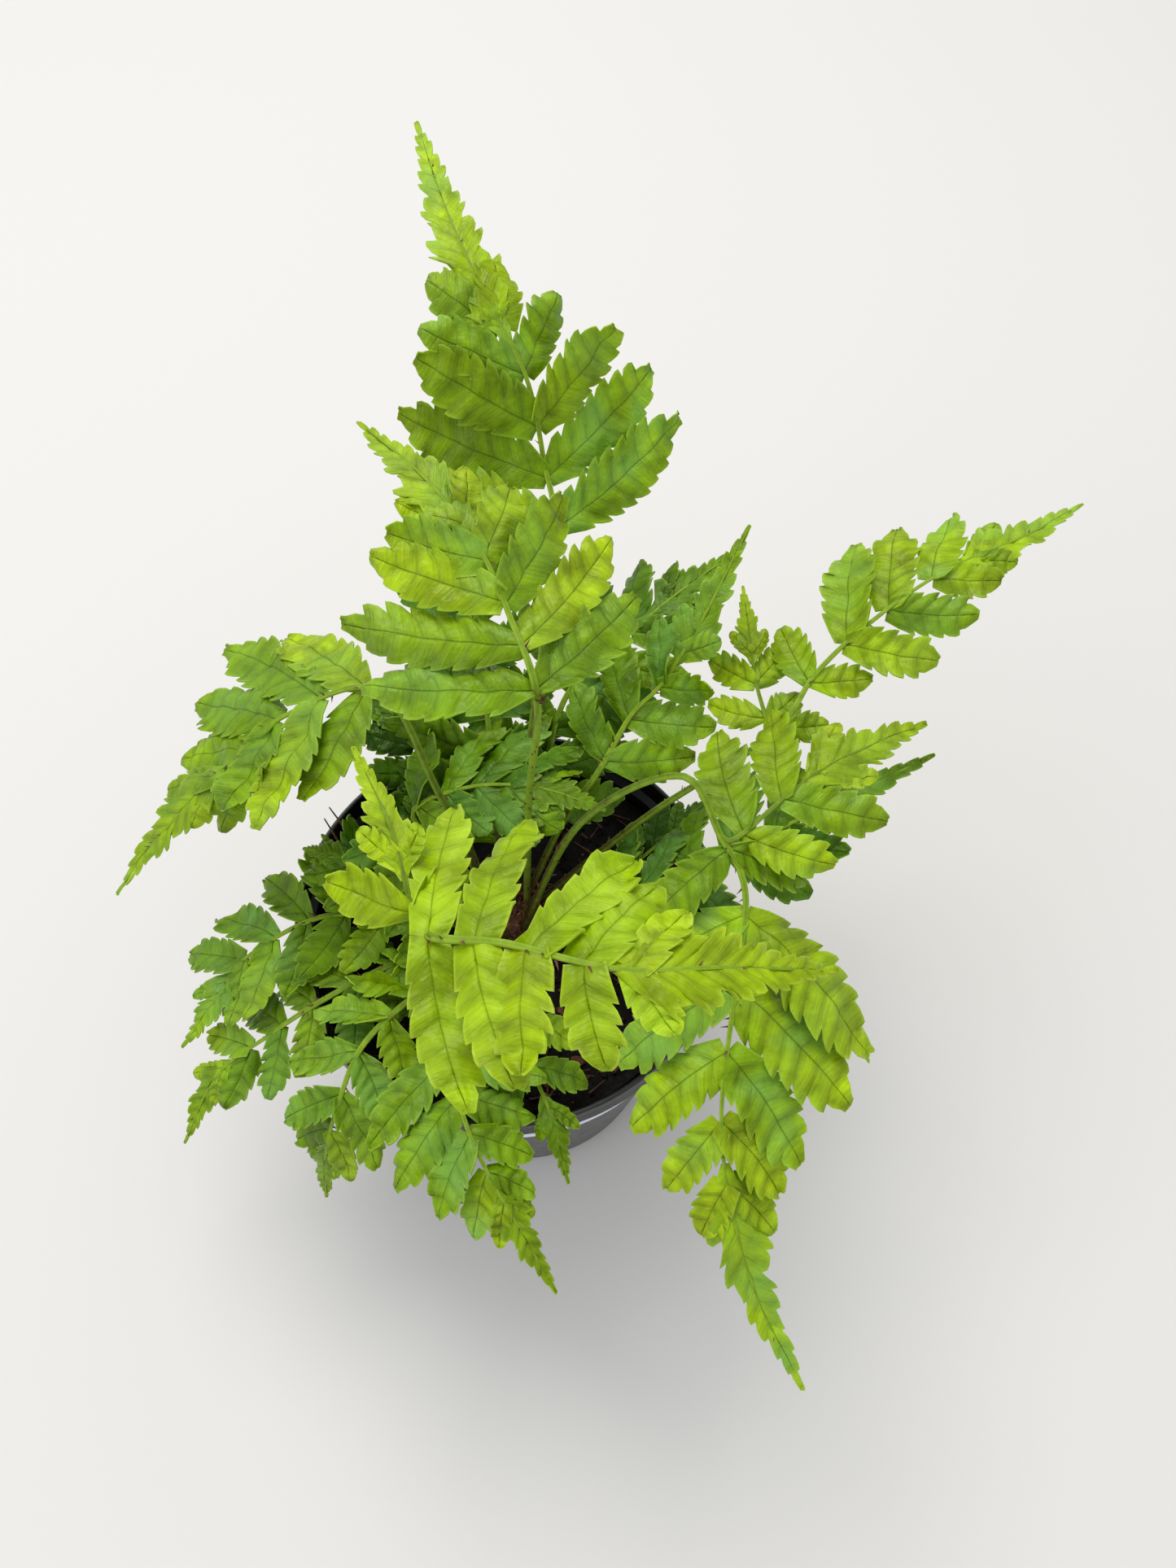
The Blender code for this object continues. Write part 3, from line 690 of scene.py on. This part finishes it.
def sheet_point(sheet, share, phase, rise, out, lean):
    """A point of the sheet at a share of its length and, from the midrib, a share out of its half width."""
    sign = 1 if out > 0 else -1
    reach = abs(out)
    edge = share + lean * min(1, share / LEAN_START) * (1 - share)
    half = sheet.width * sheet.outline(edge, sign)
    depth = sheet.width * (UPPER_TOOTH if sign > 0 else sheet.lower_tooth)
    depth *= min(1, half / sheet.width + 0.2) * sheet.tooth_size
    own = noise.noise(Vector((math.floor(share * sheet.teeth) * 1.7, sign, sheet.seed)))
    depth *= 1 + UNEVEN_TEETH * own
    tooth = depth * (rise - TOOTH_MEAN) * reach**3 * min(1, share / TOOTHLESS_FOOT)
    across = out * half + sign * tooth
    along = sheet.length * (share + (edge - share) * reach) + max(tooth, 0) * TOOTH_HOOK
    swell = math.cos(math.tau * phase) * math.sin(math.pi * min(reach, 1) ** 0.75)
    ridge = -VEIN_RELIEF * sheet.relief * swell
    groove = -MIDRIB_GROOVE * max(0, 1 - reach / GROOVE_REACH)
    bowl = -sheet.cup * half * out * out
    wave = sheet.ruffle * out * out * noise.noise(Vector((along / RUFFLE_SIZE, sign * 3 + out, sheet.seed)))
    pucker = PUCKER * noise.noise(Vector((along / PUCKER_SIZE, across / PUCKER_SIZE, sheet.seed + 9)))
    pucker *= sheet.relief * min(1, share / SMOOTH_FOOT)
    place, side, normal = sheet.axis(along)
    return place + side * across + normal * (ridge + groove + bowl + wave + pucker)


def leaflet_outline(foot):
    """An oblong leaflet with a long wedge on its lower side, a small ear on its upper, and a blunt end."""

    def half_width(share, sign):
        rise = min(share / (WIDEST_ABOVE if sign > 0 else WIDEST_BELOW), 1)
        body = foot + (1 - foot) * math.sin(rise * math.pi / 2)
        ear = EAR * math.exp(-(((share - EAR_PLACE) / EAR_LENGTH) ** 2)) if sign > 0 else 0
        past = min(max((share - END_START) / (1 - END_START), 0), 1)
        return (body + ear) * max(1 - past ** (2.0 + 1.6 * foot), BLUNTNESS)

    return half_width


def tip_outline(lobes, left, right):
    """The merged tip: a narrow wing where it starts, then a long taper of shallow lobes.

    left and right are the shares of the full width that each side reaches.
    """

    def half_width(share, sign):
        share = min(max(share, 0), 1)
        envelope = min(WING + WING_SPREAD * max(share - WING_START, 0), (1.01 - share) ** 0.98)
        place = lobes * share**0.85 + (0.25 if sign > 0 else 0)
        notch = (0.5 + 0.5 * math.cos(math.tau * place)) ** NOTCH_SHARPNESS
        depth = (FIRST_NOTCH - LAST_NOTCH) * (1 - share) + LAST_NOTCH
        return max((left if sign > 0 else right) * envelope * (1 - depth * notch), 0.02)

    return half_width


def side_of(heading):
    """Level, to the left of the heading."""
    return UP.cross(heading).normalized()


def leaflet_axis(foot, out, across, normal, length, droop, bend, twist):
    def axis(distance):
        share = distance / length
        turn = Matrix.Rotation(twist * share, 3, out)
        place = foot + out * distance + (across * bend - UP * droop) * length * share * share
        return place, turn @ across, (turn @ normal - out * (-2 * droop * share)).normalized()

    return axis


def route_axis(path, start):
    def axis(distance):
        place, heading = path.at(start + distance)
        side = side_of(heading)
        return place, side, heading.cross(side)

    return axis


def leaflet_angle(blade, pair):
    """How far a leaflet leans from the rachis, less and less towards the tip."""
    pairs = max(len(blade.left), len(blade.right))
    return math.radians(blade.angle - FORWARD_LEAN - ANGLE_CLOSING * (pair / pairs - 0.5))


def add_leaflet(bm, path, low, sign, angle, length, half, foot_share, tone, chance, play=1.0, aim=0):
    """One leaflet with its own small accidents, on the rachis's left for sign 1 and on its right for -1.

    play scales how far it may twist and ruffle. It leans from the rachis's heading at aim, if that is past
    its own foot.
    """
    place = path.at(low)[0]
    heading = path.at(max(low, aim))[1]
    side = side_of(heading)
    angle += math.radians(chance.uniform(-ANGLE_PLAY, ANGLE_PLAY))
    out = heading * math.cos(angle) + side * sign * math.sin(angle) - UP * LEAFLET_DROOP
    out.normalize()
    across = (heading - out * heading.dot(out)).normalized()
    normal = across.cross(out) * sign
    tilt = math.radians(LEAFLET_TILT + chance.uniform(-TILT_PLAY, TILT_PLAY)) * -sign * play
    tilt = Matrix.Rotation(tilt, 3, out)
    across = tilt @ across
    normal = tilt @ normal
    foot = place + heading * chance.uniform(-0.1, 0.1) * half
    droop, bend = chance.uniform(0.02, 0.12) * play, chance.uniform(0.07, 0.2)
    twist = math.radians(chance.uniform(-TWIST_PLAY, TWIST_PLAY)) * play
    axis = leaflet_axis(foot, out, across, normal, length, droop, bend, twist)
    add_sheet(
        bm,
        Sheet(
            axis,
            length,
            half * chance.uniform(0.94, 1.06),
            max(4, round(2 + length / TOOTH_SPACING)),
            leaflet_outline(foot_share),
            (tone + chance.uniform(-0.13, 0.13), chance.random()),
            chance.uniform(-0.15, 0.35),
            chance.uniform(1.1, 2.8) * MM * play,
            chance.uniform(0, 50),
        ),
    )


def add_blade(bm, path, start, blade, tone, chance):
    """Free leaflets up the rachis, then a joined pair and the lobed tip that it merges into."""
    whole = path.lengths[-1] - start
    pairs = max(len(blade.left), len(blade.right))
    pitch = whole * blade.merged_from / pairs
    width = pitch * math.sin(math.radians(blade.angle))
    short = max(blade.left) < LONG_LEAFLET
    growth = SHORT_GROWTH * max(blade.left) * MM if short else LEAFLET_GROWTH
    broad = blade.angle > BROAD_ANGLE
    foot = BROAD_FOOT if broad else NARROW_FOOT
    fullness = BROAD_FULLNESS if broad else LEAFLET_FULLNESS
    early = min(EARLY_PAIRS, max(0, int((start - RIM_PASSAGE * 3) / pitch))) if short else 0
    # The first leaflets already lie with the blade, past the bend where the stipe turns into it.
    past_bend = start + min(FOOT_BEND, whole * FOOT_BEND_SHARE) if not early else 0
    for lengths, sign in ((blade.left, 1), (blade.right, -1)):
        for pair, bare in enumerate([lengths[0]] * early + lengths, -early):
            if not bare:
                continue
            low = start + pitch * (pair + PAIR_START) + LEAFLET_FOOT / 2
            length = (bare * MM + growth) * chance.uniform(0.98, 1.06)
            half = min(width / 2 * fullness, length * LEAFLET_STOUTNESS + STOUTNESS_BASE)
            angle = leaflet_angle(blade, max(pair, 0))
            foot_share = min(foot + 0.5 * max(pair, 0) / pairs, BROADEST_FOOT)
            add_leaflet(bm, path, low, sign, angle, length, half, foot_share, tone, chance, aim=past_bend)
    merged = start + whole * blade.merged_from
    left_over = path.lengths[-1] - merged
    reaches = []
    for lengths, sign in ((blade.left, 1), (blade.right, -1)):
        reach = max(lengths[-1] * TIP_REACH * MM + growth / 2, blade.merged_width * TIP_SIDE * MM)
        angle = leaflet_angle(blade, pairs)
        reaches.append(reach * math.sin(angle) * TIP_SPREAD)
        length = reach * (1 - JOINED_PLACE) ** 1.5 * chance.uniform(0.92, 1.0)
        half = min(left_over * JOINED_WIDTH, length * JOINED_STOUTNESS)
        low = merged + left_over * JOINED_PLACE
        young = tone + 0.05
        add_leaflet(bm, path, low, sign, angle, length, half, BROADEST_FOOT, young, chance, JOINED_PLAY)
    lobes = max(4, round(left_over / (pitch * LOBE_PITCH)))
    add_sheet(
        bm,
        Sheet(
            route_axis(path, merged - pitch * TIP_LEAD),
            left_over + pitch * TIP_LEAD,
            max(reaches),
            lobes * 2,
            tip_outline(lobes, reaches[0] / max(reaches), reaches[1] / max(reaches)),
            (tone + 0.06, chance.random()),
            0.12,
            0.9 * MM,
            chance.uniform(0, 50),
            lower_tooth=UPPER_TOOTH,
            tooth_size=0.8,
            relief=0.45,
        ),
    )


def applied(piece, *helpers):
    """A bmesh of the piece with its modifiers applied. The piece and its helpers are removed."""
    view = piece.evaluated_get(bpy.context.evaluated_depsgraph_get())
    bm = bmesh.new()
    bm.from_mesh(view.to_mesh())
    view.to_mesh_clear()
    for used in (*helpers, piece):
        mesh = used.data
        bpy.data.objects.remove(used)
        bpy.data.meshes.remove(mesh)
    return bm


def thicken(bm, name):
    """The same bmesh with the sheets given their thickness."""
    sheet = finished(name, bm)
    thick = sheet.modifiers.new("thickness", "SOLIDIFY")
    thick.thickness = LEAF_THICKNESS
    thick.offset = 0
    return applied(sheet)


def add_rachis(bm, path, end, radius_at, brown_at):
    """A closed, tapering stalk with a groove along its upper side.

    radius_at and brown_at give its radius and its share of brown at a distance along the path.
    """
    tone = tone_layer(bm)
    rings = max(8, round(end / RING_SPACING))
    cells = grid(bm, rings + 1, RACHIS_SIDES + 1)
    for vert, row, column in cells:
        distance = end * row / rings
        place, heading = path.at(distance)
        side = side_of(heading)
        normal = heading.cross(side)
        turn = math.tau * column / RACHIS_SIDES
        upper = max(0, math.cos(turn))
        radius = radius_at(distance) * (1 - GROOVE_SHARE * upper**6)
        vert.co = place + (normal * math.cos(turn) + side * math.sin(turn)) * radius
        vert[tone] = (min(1, brown_at(distance) + 0.3 * upper**4), 0.5, row / rings, 1)
    verts = [cell[0] for cell in cells]
    faces = {face for vert in verts for face in vert.link_faces}
    bmesh.ops.remove_doubles(bm, verts=verts, dist=SEAM)
    open_ends = [edge for edge in bm.edges if edge.is_boundary]
    faces |= set(bmesh.ops.holes_fill(bm, edges=open_ends, sides=0)["faces"])
    whole = [face for face in faces if face.is_valid]
    for face in whole:
        face.material_index = STALK
    bmesh.ops.recalc_face_normals(bm, faces=whole)


def add_scale(bm, place, pointing, length, width, material_index, browning):
    """A flat papery scale, as a thin closed spear."""
    tone = tone_layer(bm)
    turn = pointing.to_track_quat("Z", "Y").to_matrix().to_4x4()
    shape = Matrix.Diagonal((width, width * 0.18, length, 1))
    lift = Matrix.Translation(place) @ turn @ shape @ Matrix.Translation((0, 0, 0.5))
    made = bmesh.ops.create_cone(
        bm, cap_ends=True, segments=4, radius1=0.5, radius2=0.06, depth=1, matrix=lift
    )["verts"]
    for vert in made:
        vert[tone] = (browning, 0.5, 0.5, 1)
        for face in vert.link_faces:
            face.material_index = material_index


def scale_stalk(bm, path, start, end, count, chance, radius):
    """Papery scales along a stalk, thickest near its foot."""
    for _ in range(count):
        share = chance.random() ** 1.6
        place, heading = path.at(start + (end - start) * share)
        side = side_of(heading)
        turn = chance.uniform(0, math.tau)
        out = heading.cross(side) * math.cos(turn) + side * math.sin(turn)
        pointing = (out * chance.uniform(0.5, 1.2) + heading * chance.uniform(0.2, 1.0)).normalized()
        size = chance.uniform(0.7, 1.0) * (1 - 0.55 * share)
        place += out * radius * 0.7
        add_scale(bm, place, pointing, SCALE_LENGTH * size, SCALE_WIDTH * size, SCALES, 0.9)


def route_point(point):
    """A route point in the pot's frame, kept above the rim wherever it isn't yet outside it."""
    place = Vector(point) * MM + UP * RIM_HEIGHT
    lowest = RIM_HEIGHT + RIM_PASSAGE
    if math.hypot(place.x, place.y) < RIM_RADIUS + RIM_PASSAGE and place.z < lowest:
        place.z = lowest
    return place


def root_point(turn, ring):
    """Where a stipe leaves the crown."""
    turn = math.radians(turn)
    share = ring / CROWN_HIGH.x
    height = CROWN_LOW.z + (CROWN_HIGH.z - CROWN_LOW.z) * (1 - CROWN_DOMING * share**2) + CROWN_CLEAR
    return around(turn, ring, height)


def build_frond(frond, finishes):
    foot = route_point(frond.blade.route[0])
    root = root_point(frond.root_turn, frond.root_ring)
    stipe = [route_point(point) for point in frond.stipe]
    if not stipe:
        stipe = [root.lerp(foot, 0.5) + UP * (foot - root).length * frond.arch]
    path = Path([root, *stipe, foot, *map(route_point, frond.blade.route[1:])])
    start = path.lengths[path.knots[1 + len(stipe)]]
    chance = random.Random(frond.name)
    bm = bmesh.new()
    add_blade(bm, path, start, frond.blade, frond.tone, chance)
    branch = None
    if frond.branch:
        branch = Path([foot, *map(route_point, frond.branch.route)])
        add_blade(bm, branch, 2 * MM, frond.branch, frond.tone, chance)
    bm = thicken(bm, frond.name + "_sheet")
    end = path.lengths[-1]
    small = min(1, LEAST_STOUTNESS + end / FULL_STOUTNESS_LENGTH)
    last = start + (end - start) * RACHIS_END
    stout, thin = STIPE_RADIUS * small, RACHIS_RADIUS * small

    def radius_at(distance):
        if distance < start:
            return stout + (thin - stout) * distance / start
        return thin + (TIP_RADIUS - thin) * (distance - start) / (last - start)

    def brown_at(distance):
        return max(0.9 - 0.75 * (distance / start) ** 0.5, 0.08)

    add_rachis(bm, path, last, radius_at, brown_at)
    if branch:
        tip = branch.lengths[-1] * BRANCH_END
        slim = thin * 0.8

        def slim_at(distance):
            return slim + (TIP_RADIUS - slim) * distance / tip

        add_rachis(bm, branch, tip, slim_at, lambda distance: 0.25)
    scale_stalk(bm, path, 0, start, round(STIPE_SCALES * start), chance, stout)
    scale_stalk(bm, path, start, last, round(RACHIS_SCALES * (last - start)), chance, thin * 0.7)
    slot = "young_fern_leaf" if frond.name == "frond_near" else "fern_leaf"
    tissues = [finishes[part] for part in (slot, "stalk", "crown_scales")]
    piece = finished(frond.name + "_leaf", bm, *tissues, sharp=60)
    hand_in(piece, slot, frond.name)


def turned(profile, steps=128):
    """A bmesh spun about Z from (radius, height) points, the first and last of them on the axis."""
    bm = bmesh.new()
    verts = [bm.verts.new((radius, 0, z)) for radius, z in profile]
    edges = [bm.edges.new(pair) for pair in zip(verts, verts[1:])]
    bmesh.ops.spin(
        bm, geom=verts + edges, axis=UP, cent=(0, 0, 0), angle=math.tau, steps=steps, use_merge=True
    )
    bmesh.ops.remove_doubles(bm, verts=bm.verts, dist=1e-6)
    bmesh.ops.recalc_face_normals(bm, faces=bm.faces)
    return bm


def build_pot(finishes):
    """A thin vacuum-formed pot with a rolled lip, a stepped band of drawn lines, and holes in its foot."""
    foot = POT_FOOT
    step = RIM_RADIUS - BAND_STEP
    band = RIM_HEIGHT - BAND_HEIGHT
    profile = [(0, 0.6 * MM), (foot - 5 * MM, 0.6 * MM), (foot - 4 * MM, 0), (foot - 0.7 * MM, 0)]
    profile += [(foot - 0.15 * MM, 0.25 * MM), (foot, 0.9 * MM)]
    # A faint bead stands out above the foot and fades up the wall.
    for share, bead in ((0.04, 0), (0.042, 0.15), (0.5, 0), (0.9, 0), (0.985, 0), (1.0, 0)):
        profile.append((foot + (step - foot) * share + bead * MM, band * share))
    profile += [(RIM_RADIUS - 0.5 * MM, band + 0.3 * MM), (RIM_RADIUS - 0.12 * MM, band + 0.7 * MM)]
    for height in (1.6, 2.6, 3.6, 4.6):
        for lift, inset in ((-0.16, 0.0), (0.0, 0.16), (0.16, 0.0)):
            profile.append((RIM_RADIUS - (0.06 + inset) * MM, band + (height + lift) * MM))
    profile += [
        (RIM_RADIUS - 0.03 * MM, RIM_HEIGHT - 0.9 * MM),
        (RIM_RADIUS - 0.12 * MM, RIM_HEIGHT - 0.35 * MM),
        (RIM_RADIUS - 0.4 * MM, RIM_HEIGHT - 0.05 * MM),
        (RIM_RADIUS - 0.8 * MM, RIM_HEIGHT),
        (RIM_RADIUS - 1.15 * MM, RIM_HEIGHT - 0.2 * MM),
        (RIM_RADIUS - 1.3 * MM, RIM_HEIGHT - 0.8 * MM),
        (RIM_RADIUS - 1.3 * MM, band + 1.5 * MM),
        (step - POT_WALL, band),
        (foot - POT_WALL, POT_BASE + 0.8 * MM),
        (foot - POT_WALL - 0.8 * MM, POT_BASE),
        (0, POT_BASE),
    ]
    shell = finished("pot_shell", turned(profile))
    cutters = []
    for i in range(DRAINS):
        turn = math.tau * (i + 0.5) / DRAINS
        bm = bmesh.new()
        bmesh.ops.create_cone(
            bm,
            cap_ends=True,
            segments=32,
            radius1=DRAIN_RADIUS,
            radius2=DRAIN_RADIUS,
            depth=POT_BASE * 4,
            matrix=Matrix.Translation(around(turn, foot * DRAIN_RING)),
        )
        cutter = finished(f"drain_{i}", bm)
        cut = shell.modifiers.new(f"drain_{i}", "BOOLEAN")
        cut.operation = "DIFFERENCE"
        cut.object = cutter
        cutters.append(cutter)
    bm = applied(shell, *cutters)
    hand_in(finished("nursery_pot", bm, finishes["pot_plastic"], sharp=30), "pot_plastic", "pot")


def build_sticker(finishes):
    """A blank label round the wall, with rounded corners."""
    top = RIM_HEIGHT - STICKER_BELOW_RIM
    low = top - STICKER_HEIGHT
    wall_top = RIM_HEIGHT - BAND_HEIGHT
    wall_spread = RIM_RADIUS - BAND_STEP - POT_FOOT
    bm = bmesh.new()
    for vert, row, column in grid(bm, 61, 17):
        along = row / 60
        up = column / 16
        height = low + (top - low) * up
        radius = POT_FOOT + wall_spread * height / wall_top + STICKER_STANDOFF
        from_side = min(up, 1 - up) * (top - low)
        into_corner = max(STICKER_CORNER - from_side, 0)
        cut = STICKER_CORNER - math.sqrt(max(STICKER_CORNER**2 - into_corner**2, 0))
        cut /= (STICKER_TO - STICKER_FROM) * radius
        turn = STICKER_FROM + (STICKER_TO - STICKER_FROM) * (cut + along * (1 - 2 * cut))
        vert.co = around(turn, radius, height)
    bmesh.ops.solidify(bm, geom=list(bm.faces), thickness=STICKER_THICKNESS)
    bmesh.ops.recalc_face_normals(bm, faces=bm.faces)
    hand_in(finished("blank_label", bm, finishes["sticker"]), "sticker", "pot_sticker")


def build_soil(finishes):
    """A lumpy bed of peat with crumbs and fibres in it."""
    chance = random.Random(3)
    edge = SOIL_HIGH.x - SOIL_EDGE
    level = SOIL_HIGH.z - SOIL_CROWNING - 0.4 * MM
    bm = bmesh.new()
    for vert, row, column in grid(bm, 141, 141):
        x, y = row / 70 - 1, column / 70 - 1
        place = Vector((x * math.sqrt(1 - y * y / 2), y * math.sqrt(1 - x * x / 2), 0)) * edge
        share = place.length / edge
        lumps = noise.fractal(place / (5 * MM), 1.0, 2.1, 4) * 0.8 * MM
        lumps *= min(1, (1.02 - share) * 12)
        vert.co = (place.x, place.y, level + SOIL_CROWNING * (1 - share**2) + lumps)
    rim = [side for side in bm.edges if side.is_boundary]
    skirt = bmesh.ops.extrude_edge_only(bm, edges=rim)["geom"]
    low = [item for item in skirt if isinstance(item, bmesh.types.BMVert)]
    for vert in low:
        vert.co = (vert.co.x * 0.78, vert.co.y * 0.78, 1.8 * MM)
    bmesh.ops.contextual_create(bm, geom=[side for side in bm.edges if side.is_boundary])
    bmesh.ops.recalc_face_normals(bm, faces=bm.faces)
    for _ in range(SOIL_CRUMBS):
        turn, ring = chance.uniform(0, math.tau), edge * math.sqrt(chance.random()) * 0.97
        size = chance.uniform(0.25, 0.9) * MM
        height = level + SOIL_CROWNING * (1 - (ring / edge) ** 2) + size * 0.4
        spot = around(turn, ring, height)
        centre = Matrix.Translation(spot)
        made = bmesh.ops.create_icosphere(bm, subdivisions=1, radius=size, matrix=centre)["verts"]
        squash = Vector([chance.uniform(0.6, 1.3) for _ in range(3)])
        brown = chance.random() < BROWN_CRUMBS
        for vert in made:
            offset = vert.co - spot
            vert.co = spot + Vector([o * s for o, s in zip(offset, squash)]) * chance.uniform(0.8, 1.15)
            for face in vert.link_faces:
                face.material_index = 1 if brown else 0
    for _ in range(SOIL_FIBRES):
        turn, ring = chance.uniform(0, math.tau), edge * math.sqrt(chance.random()) * 0.95
        spot = around(turn, ring, level + SOIL_CROWNING * 0.8 + 0.5 * MM)
        heading = Vector((chance.uniform(-1, 1), chance.uniform(-1, 1), chance.uniform(-0.15, 0.3)))
        turn_to = heading.to_track_quat("Z", "Y").to_matrix().to_4x4()
        width = chance.uniform(0.08, 0.35) * MM
        made = bmesh.ops.create_cone(
            bm,
            cap_ends=True,
            segments=5,
            radius1=width,
            radius2=width * 0.4,
            depth=chance.uniform(2, 6) * MM,
            matrix=Matrix.Translation(spot) @ turn_to,
        )["verts"]
        for vert in made:
            for face in vert.link_faces:
                face.material_index = 1
    hand_in(finished("peat_bed", bm, finishes["soil"], finishes["bark"]), "soil", "potting_soil")


def build_crown(finishes):
    """A low stump covered in papery scales."""
    chance = random.Random(5)
    radius = CROWN_HIGH.x - 1.0 * MM
    low, high = CROWN_LOW.z + 0.3 * MM, CROWN_HIGH.z - 0.5 * MM
    profile = [(0, low), (radius, low)]
    for share in (1, 0.9, 0.75, 0.6, 0.45, 0.3, 0.15, 0):
        profile.append((radius * share, low + (high - low) * (1 - CROWN_DOMING * share * share)))
    bm = turned(profile, 48)
    tone_layer(bm)
    for vert in bm.verts:
        vert.co += vert.co.normalized() * noise.noise(vert.co / (2.5 * MM)) * 0.5 * MM
    for _ in range(CROWN_SCALES):
        turn, share = chance.uniform(0, math.tau), math.sqrt(chance.random())
        out = around(turn, 1)
        height = low + (high - low) * (1 - CROWN_DOMING * share**2) - 0.2 * MM
        spot = out * radius * share + UP * height
        pointing = (out * chance.uniform(0.1, 1.0) + UP * chance.uniform(0.2, 1.0)).normalized()
        pointing += Vector((chance.uniform(-0.4, 0.4), chance.uniform(-0.4, 0.4), 0))
        length, width = chance.uniform(2, 4.5) * MM, chance.uniform(0.5, 1.1) * MM
        add_scale(bm, spot, pointing.normalized(), length, width, 0, 0.8)
    hand_in(finished("scaly_crown", bm, finishes["crown_scales"]), "crown_scales", "crown")


def build_small_things(finishes):
    """Bark chips, dry stalks and the withered leaflet, each grown from its own solid's box."""
    for i in range(1, 5):
        low, high = (Vector(corner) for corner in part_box(f"bark_chip_{i}"))
        bm = bmesh.new()
        bmesh.ops.create_icosphere(bm, subdivisions=4, radius=0.5)
        size = high - low
        for vert in bm.verts:
            boxy = max(abs(c) for c in vert.co) * 2
            lumpy = 1 + 0.16 * noise.fractal(vert.co * 3.5 + Vector((i * 7, 0, 0)), 1.0, 2.0, 3)
            offset = Vector([c / boxy**0.45 * s * lumpy for c, s in zip(vert.co, size)])
            vert.co = (low + high) / 2 + offset * 0.95
        hand_in(finished(f"bark_bit_{i}", bm, finishes["bark"]), "bark", f"bark_chip_{i}")
    for i in (1, 2):
        low, high = (Vector(corner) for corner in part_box(f"dry_stalk_{i}"))
        foot = Vector(((low.x + high.x) / 2, (low.y + high.y) / 2, low.z))
        top = Vector((foot.x - 1.5 * MM, foot.y + (i - 1.5) * MM, high.z))
        bend = foot.lerp(top, 0.5) + Vector((0.8, 0.5 - 0.6 * i, 0)) * MM
        bm = bmesh.new()
        path = Path([foot, bend, top])
        for vert, row, column in grid(bm, 41, 9):
            place, heading = path.at(path.lengths[-1] * row / 40)
            side = heading.cross(Vector((0, 1, 0))).normalized()
            turn = math.tau * column / 8
            radius = (0.34 - 0.2 * row / 40) * MM * (1 + 0.15 * noise.noise(Vector((row / 3, i, 0))))
            vert.co = place + (side * math.cos(turn) + heading.cross(side) * math.sin(turn)) * radius
        bmesh.ops.remove_doubles(bm, verts=bm.verts, dist=SEAM)
        bmesh.ops.holes_fill(bm, edges=bm.edges, sides=0)
        bmesh.ops.recalc_face_normals(bm, faces=bm.faces)
        hand_in(finished(f"dead_stalk_{i}", bm, finishes["dry_leaf"]), "dry_leaf", f"dry_stalk_{i}")
    low, high = (Vector(corner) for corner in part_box("withered_leaflet"))
    middle = (low + high) / 2
    out = Vector((middle.x, middle.y, 0)).normalized() * 0.75 + UP * 0.66
    out.normalize()
    across = side_of(out)
    foot = middle - out * 4.6 * MM
    bm = bmesh.new()
    axis = leaflet_axis(foot, out, across, out.cross(across), 9.6 * MM, 0.02, 0.04, math.radians(30))
    add_sheet(
        bm, Sheet(axis, 9.6 * MM, 2.5 * MM, 6, leaflet_outline(0.2), (0.5, 0.5), 0.5, 1.6 * MM, 4.0)
    )
    bm = thicken(bm, "withered_sheet")
    hand_in(finished("dead_leaflet", bm, finishes["dry_leaf"]), "dry_leaf", "withered_leaflet")


# ---- Floor, light and camera ----


def build_floor():
    """Plain pale floor."""
    material, tree = new_material("pale_matt_floor")
    surface = add(tree, "BsdfPrincipled", {"Base Color": colour("#CDCBC7"), "Roughness": 0.7})
    add(tree, "OutputMaterial", {"Surface": surface})
    bm = bmesh.new()
    bmesh.ops.create_grid(bm, x_segments=1, y_segments=1, size=4)
    floor = finished("floor", bm, material)


def add_area_light(name, place, aim, size, power, tint):
    lamp = bpy.data.lights.new(name, "AREA")
    lamp.shape = "DISK"
    lamp.size = size
    lamp.energy = power
    lamp.color = colour(tint)[:3]
    made = bpy.data.objects.new(name, lamp)
    made.location = place
    made.rotation_euler = (Vector(aim) - Vector(place)).to_track_quat("-Z", "Y").to_euler()
    bpy.context.scene.collection.objects.link(made)


def light_and_look():
    world = bpy.data.worlds.new("soft_daylight")
    world.use_nodes = True
    sky = world.node_tree.nodes["Background"]
    sky.inputs["Color"].default_value = colour("#F4F6FA")
    sky.inputs["Strength"].default_value = 0.88
    bpy.context.scene.world = world
    # Plain, uncompressed colour, so the greens stay as clear as their finishes.
    bpy.context.scene.view_settings.view_transform = "Standard"
    add_area_light("window", (-0.2, 0.55, 1.45), (0, 0, 0.1), 1.0, 15, "#FFFDF8")
    add_area_light("fill", (-1.2, -0.6, 1.0), (0, 0, 0.1), 1.2, 6, "#F2F6FF")
    camera = bpy.data.cameras.new("camera")
    camera.lens = 27.03
    camera.dof.use_dof = False
    view = bpy.data.objects.new("camera", camera)
    view.location = (0.01665, -0.1039, 0.3045)
    view.rotation_euler = (math.radians(30.85), 0, 0)
    bpy.context.scene.collection.objects.link(view)
    bpy.context.scene.camera = view


FINISHES = build_materials()
for each in FRONDS:
    build_frond(each, FINISHES)
build_pot(FINISHES)
build_sticker(FINISHES)
build_soil(FINISHES)
build_crown(FINISHES)
build_small_things(FINISHES)
build_floor()
light_and_look()
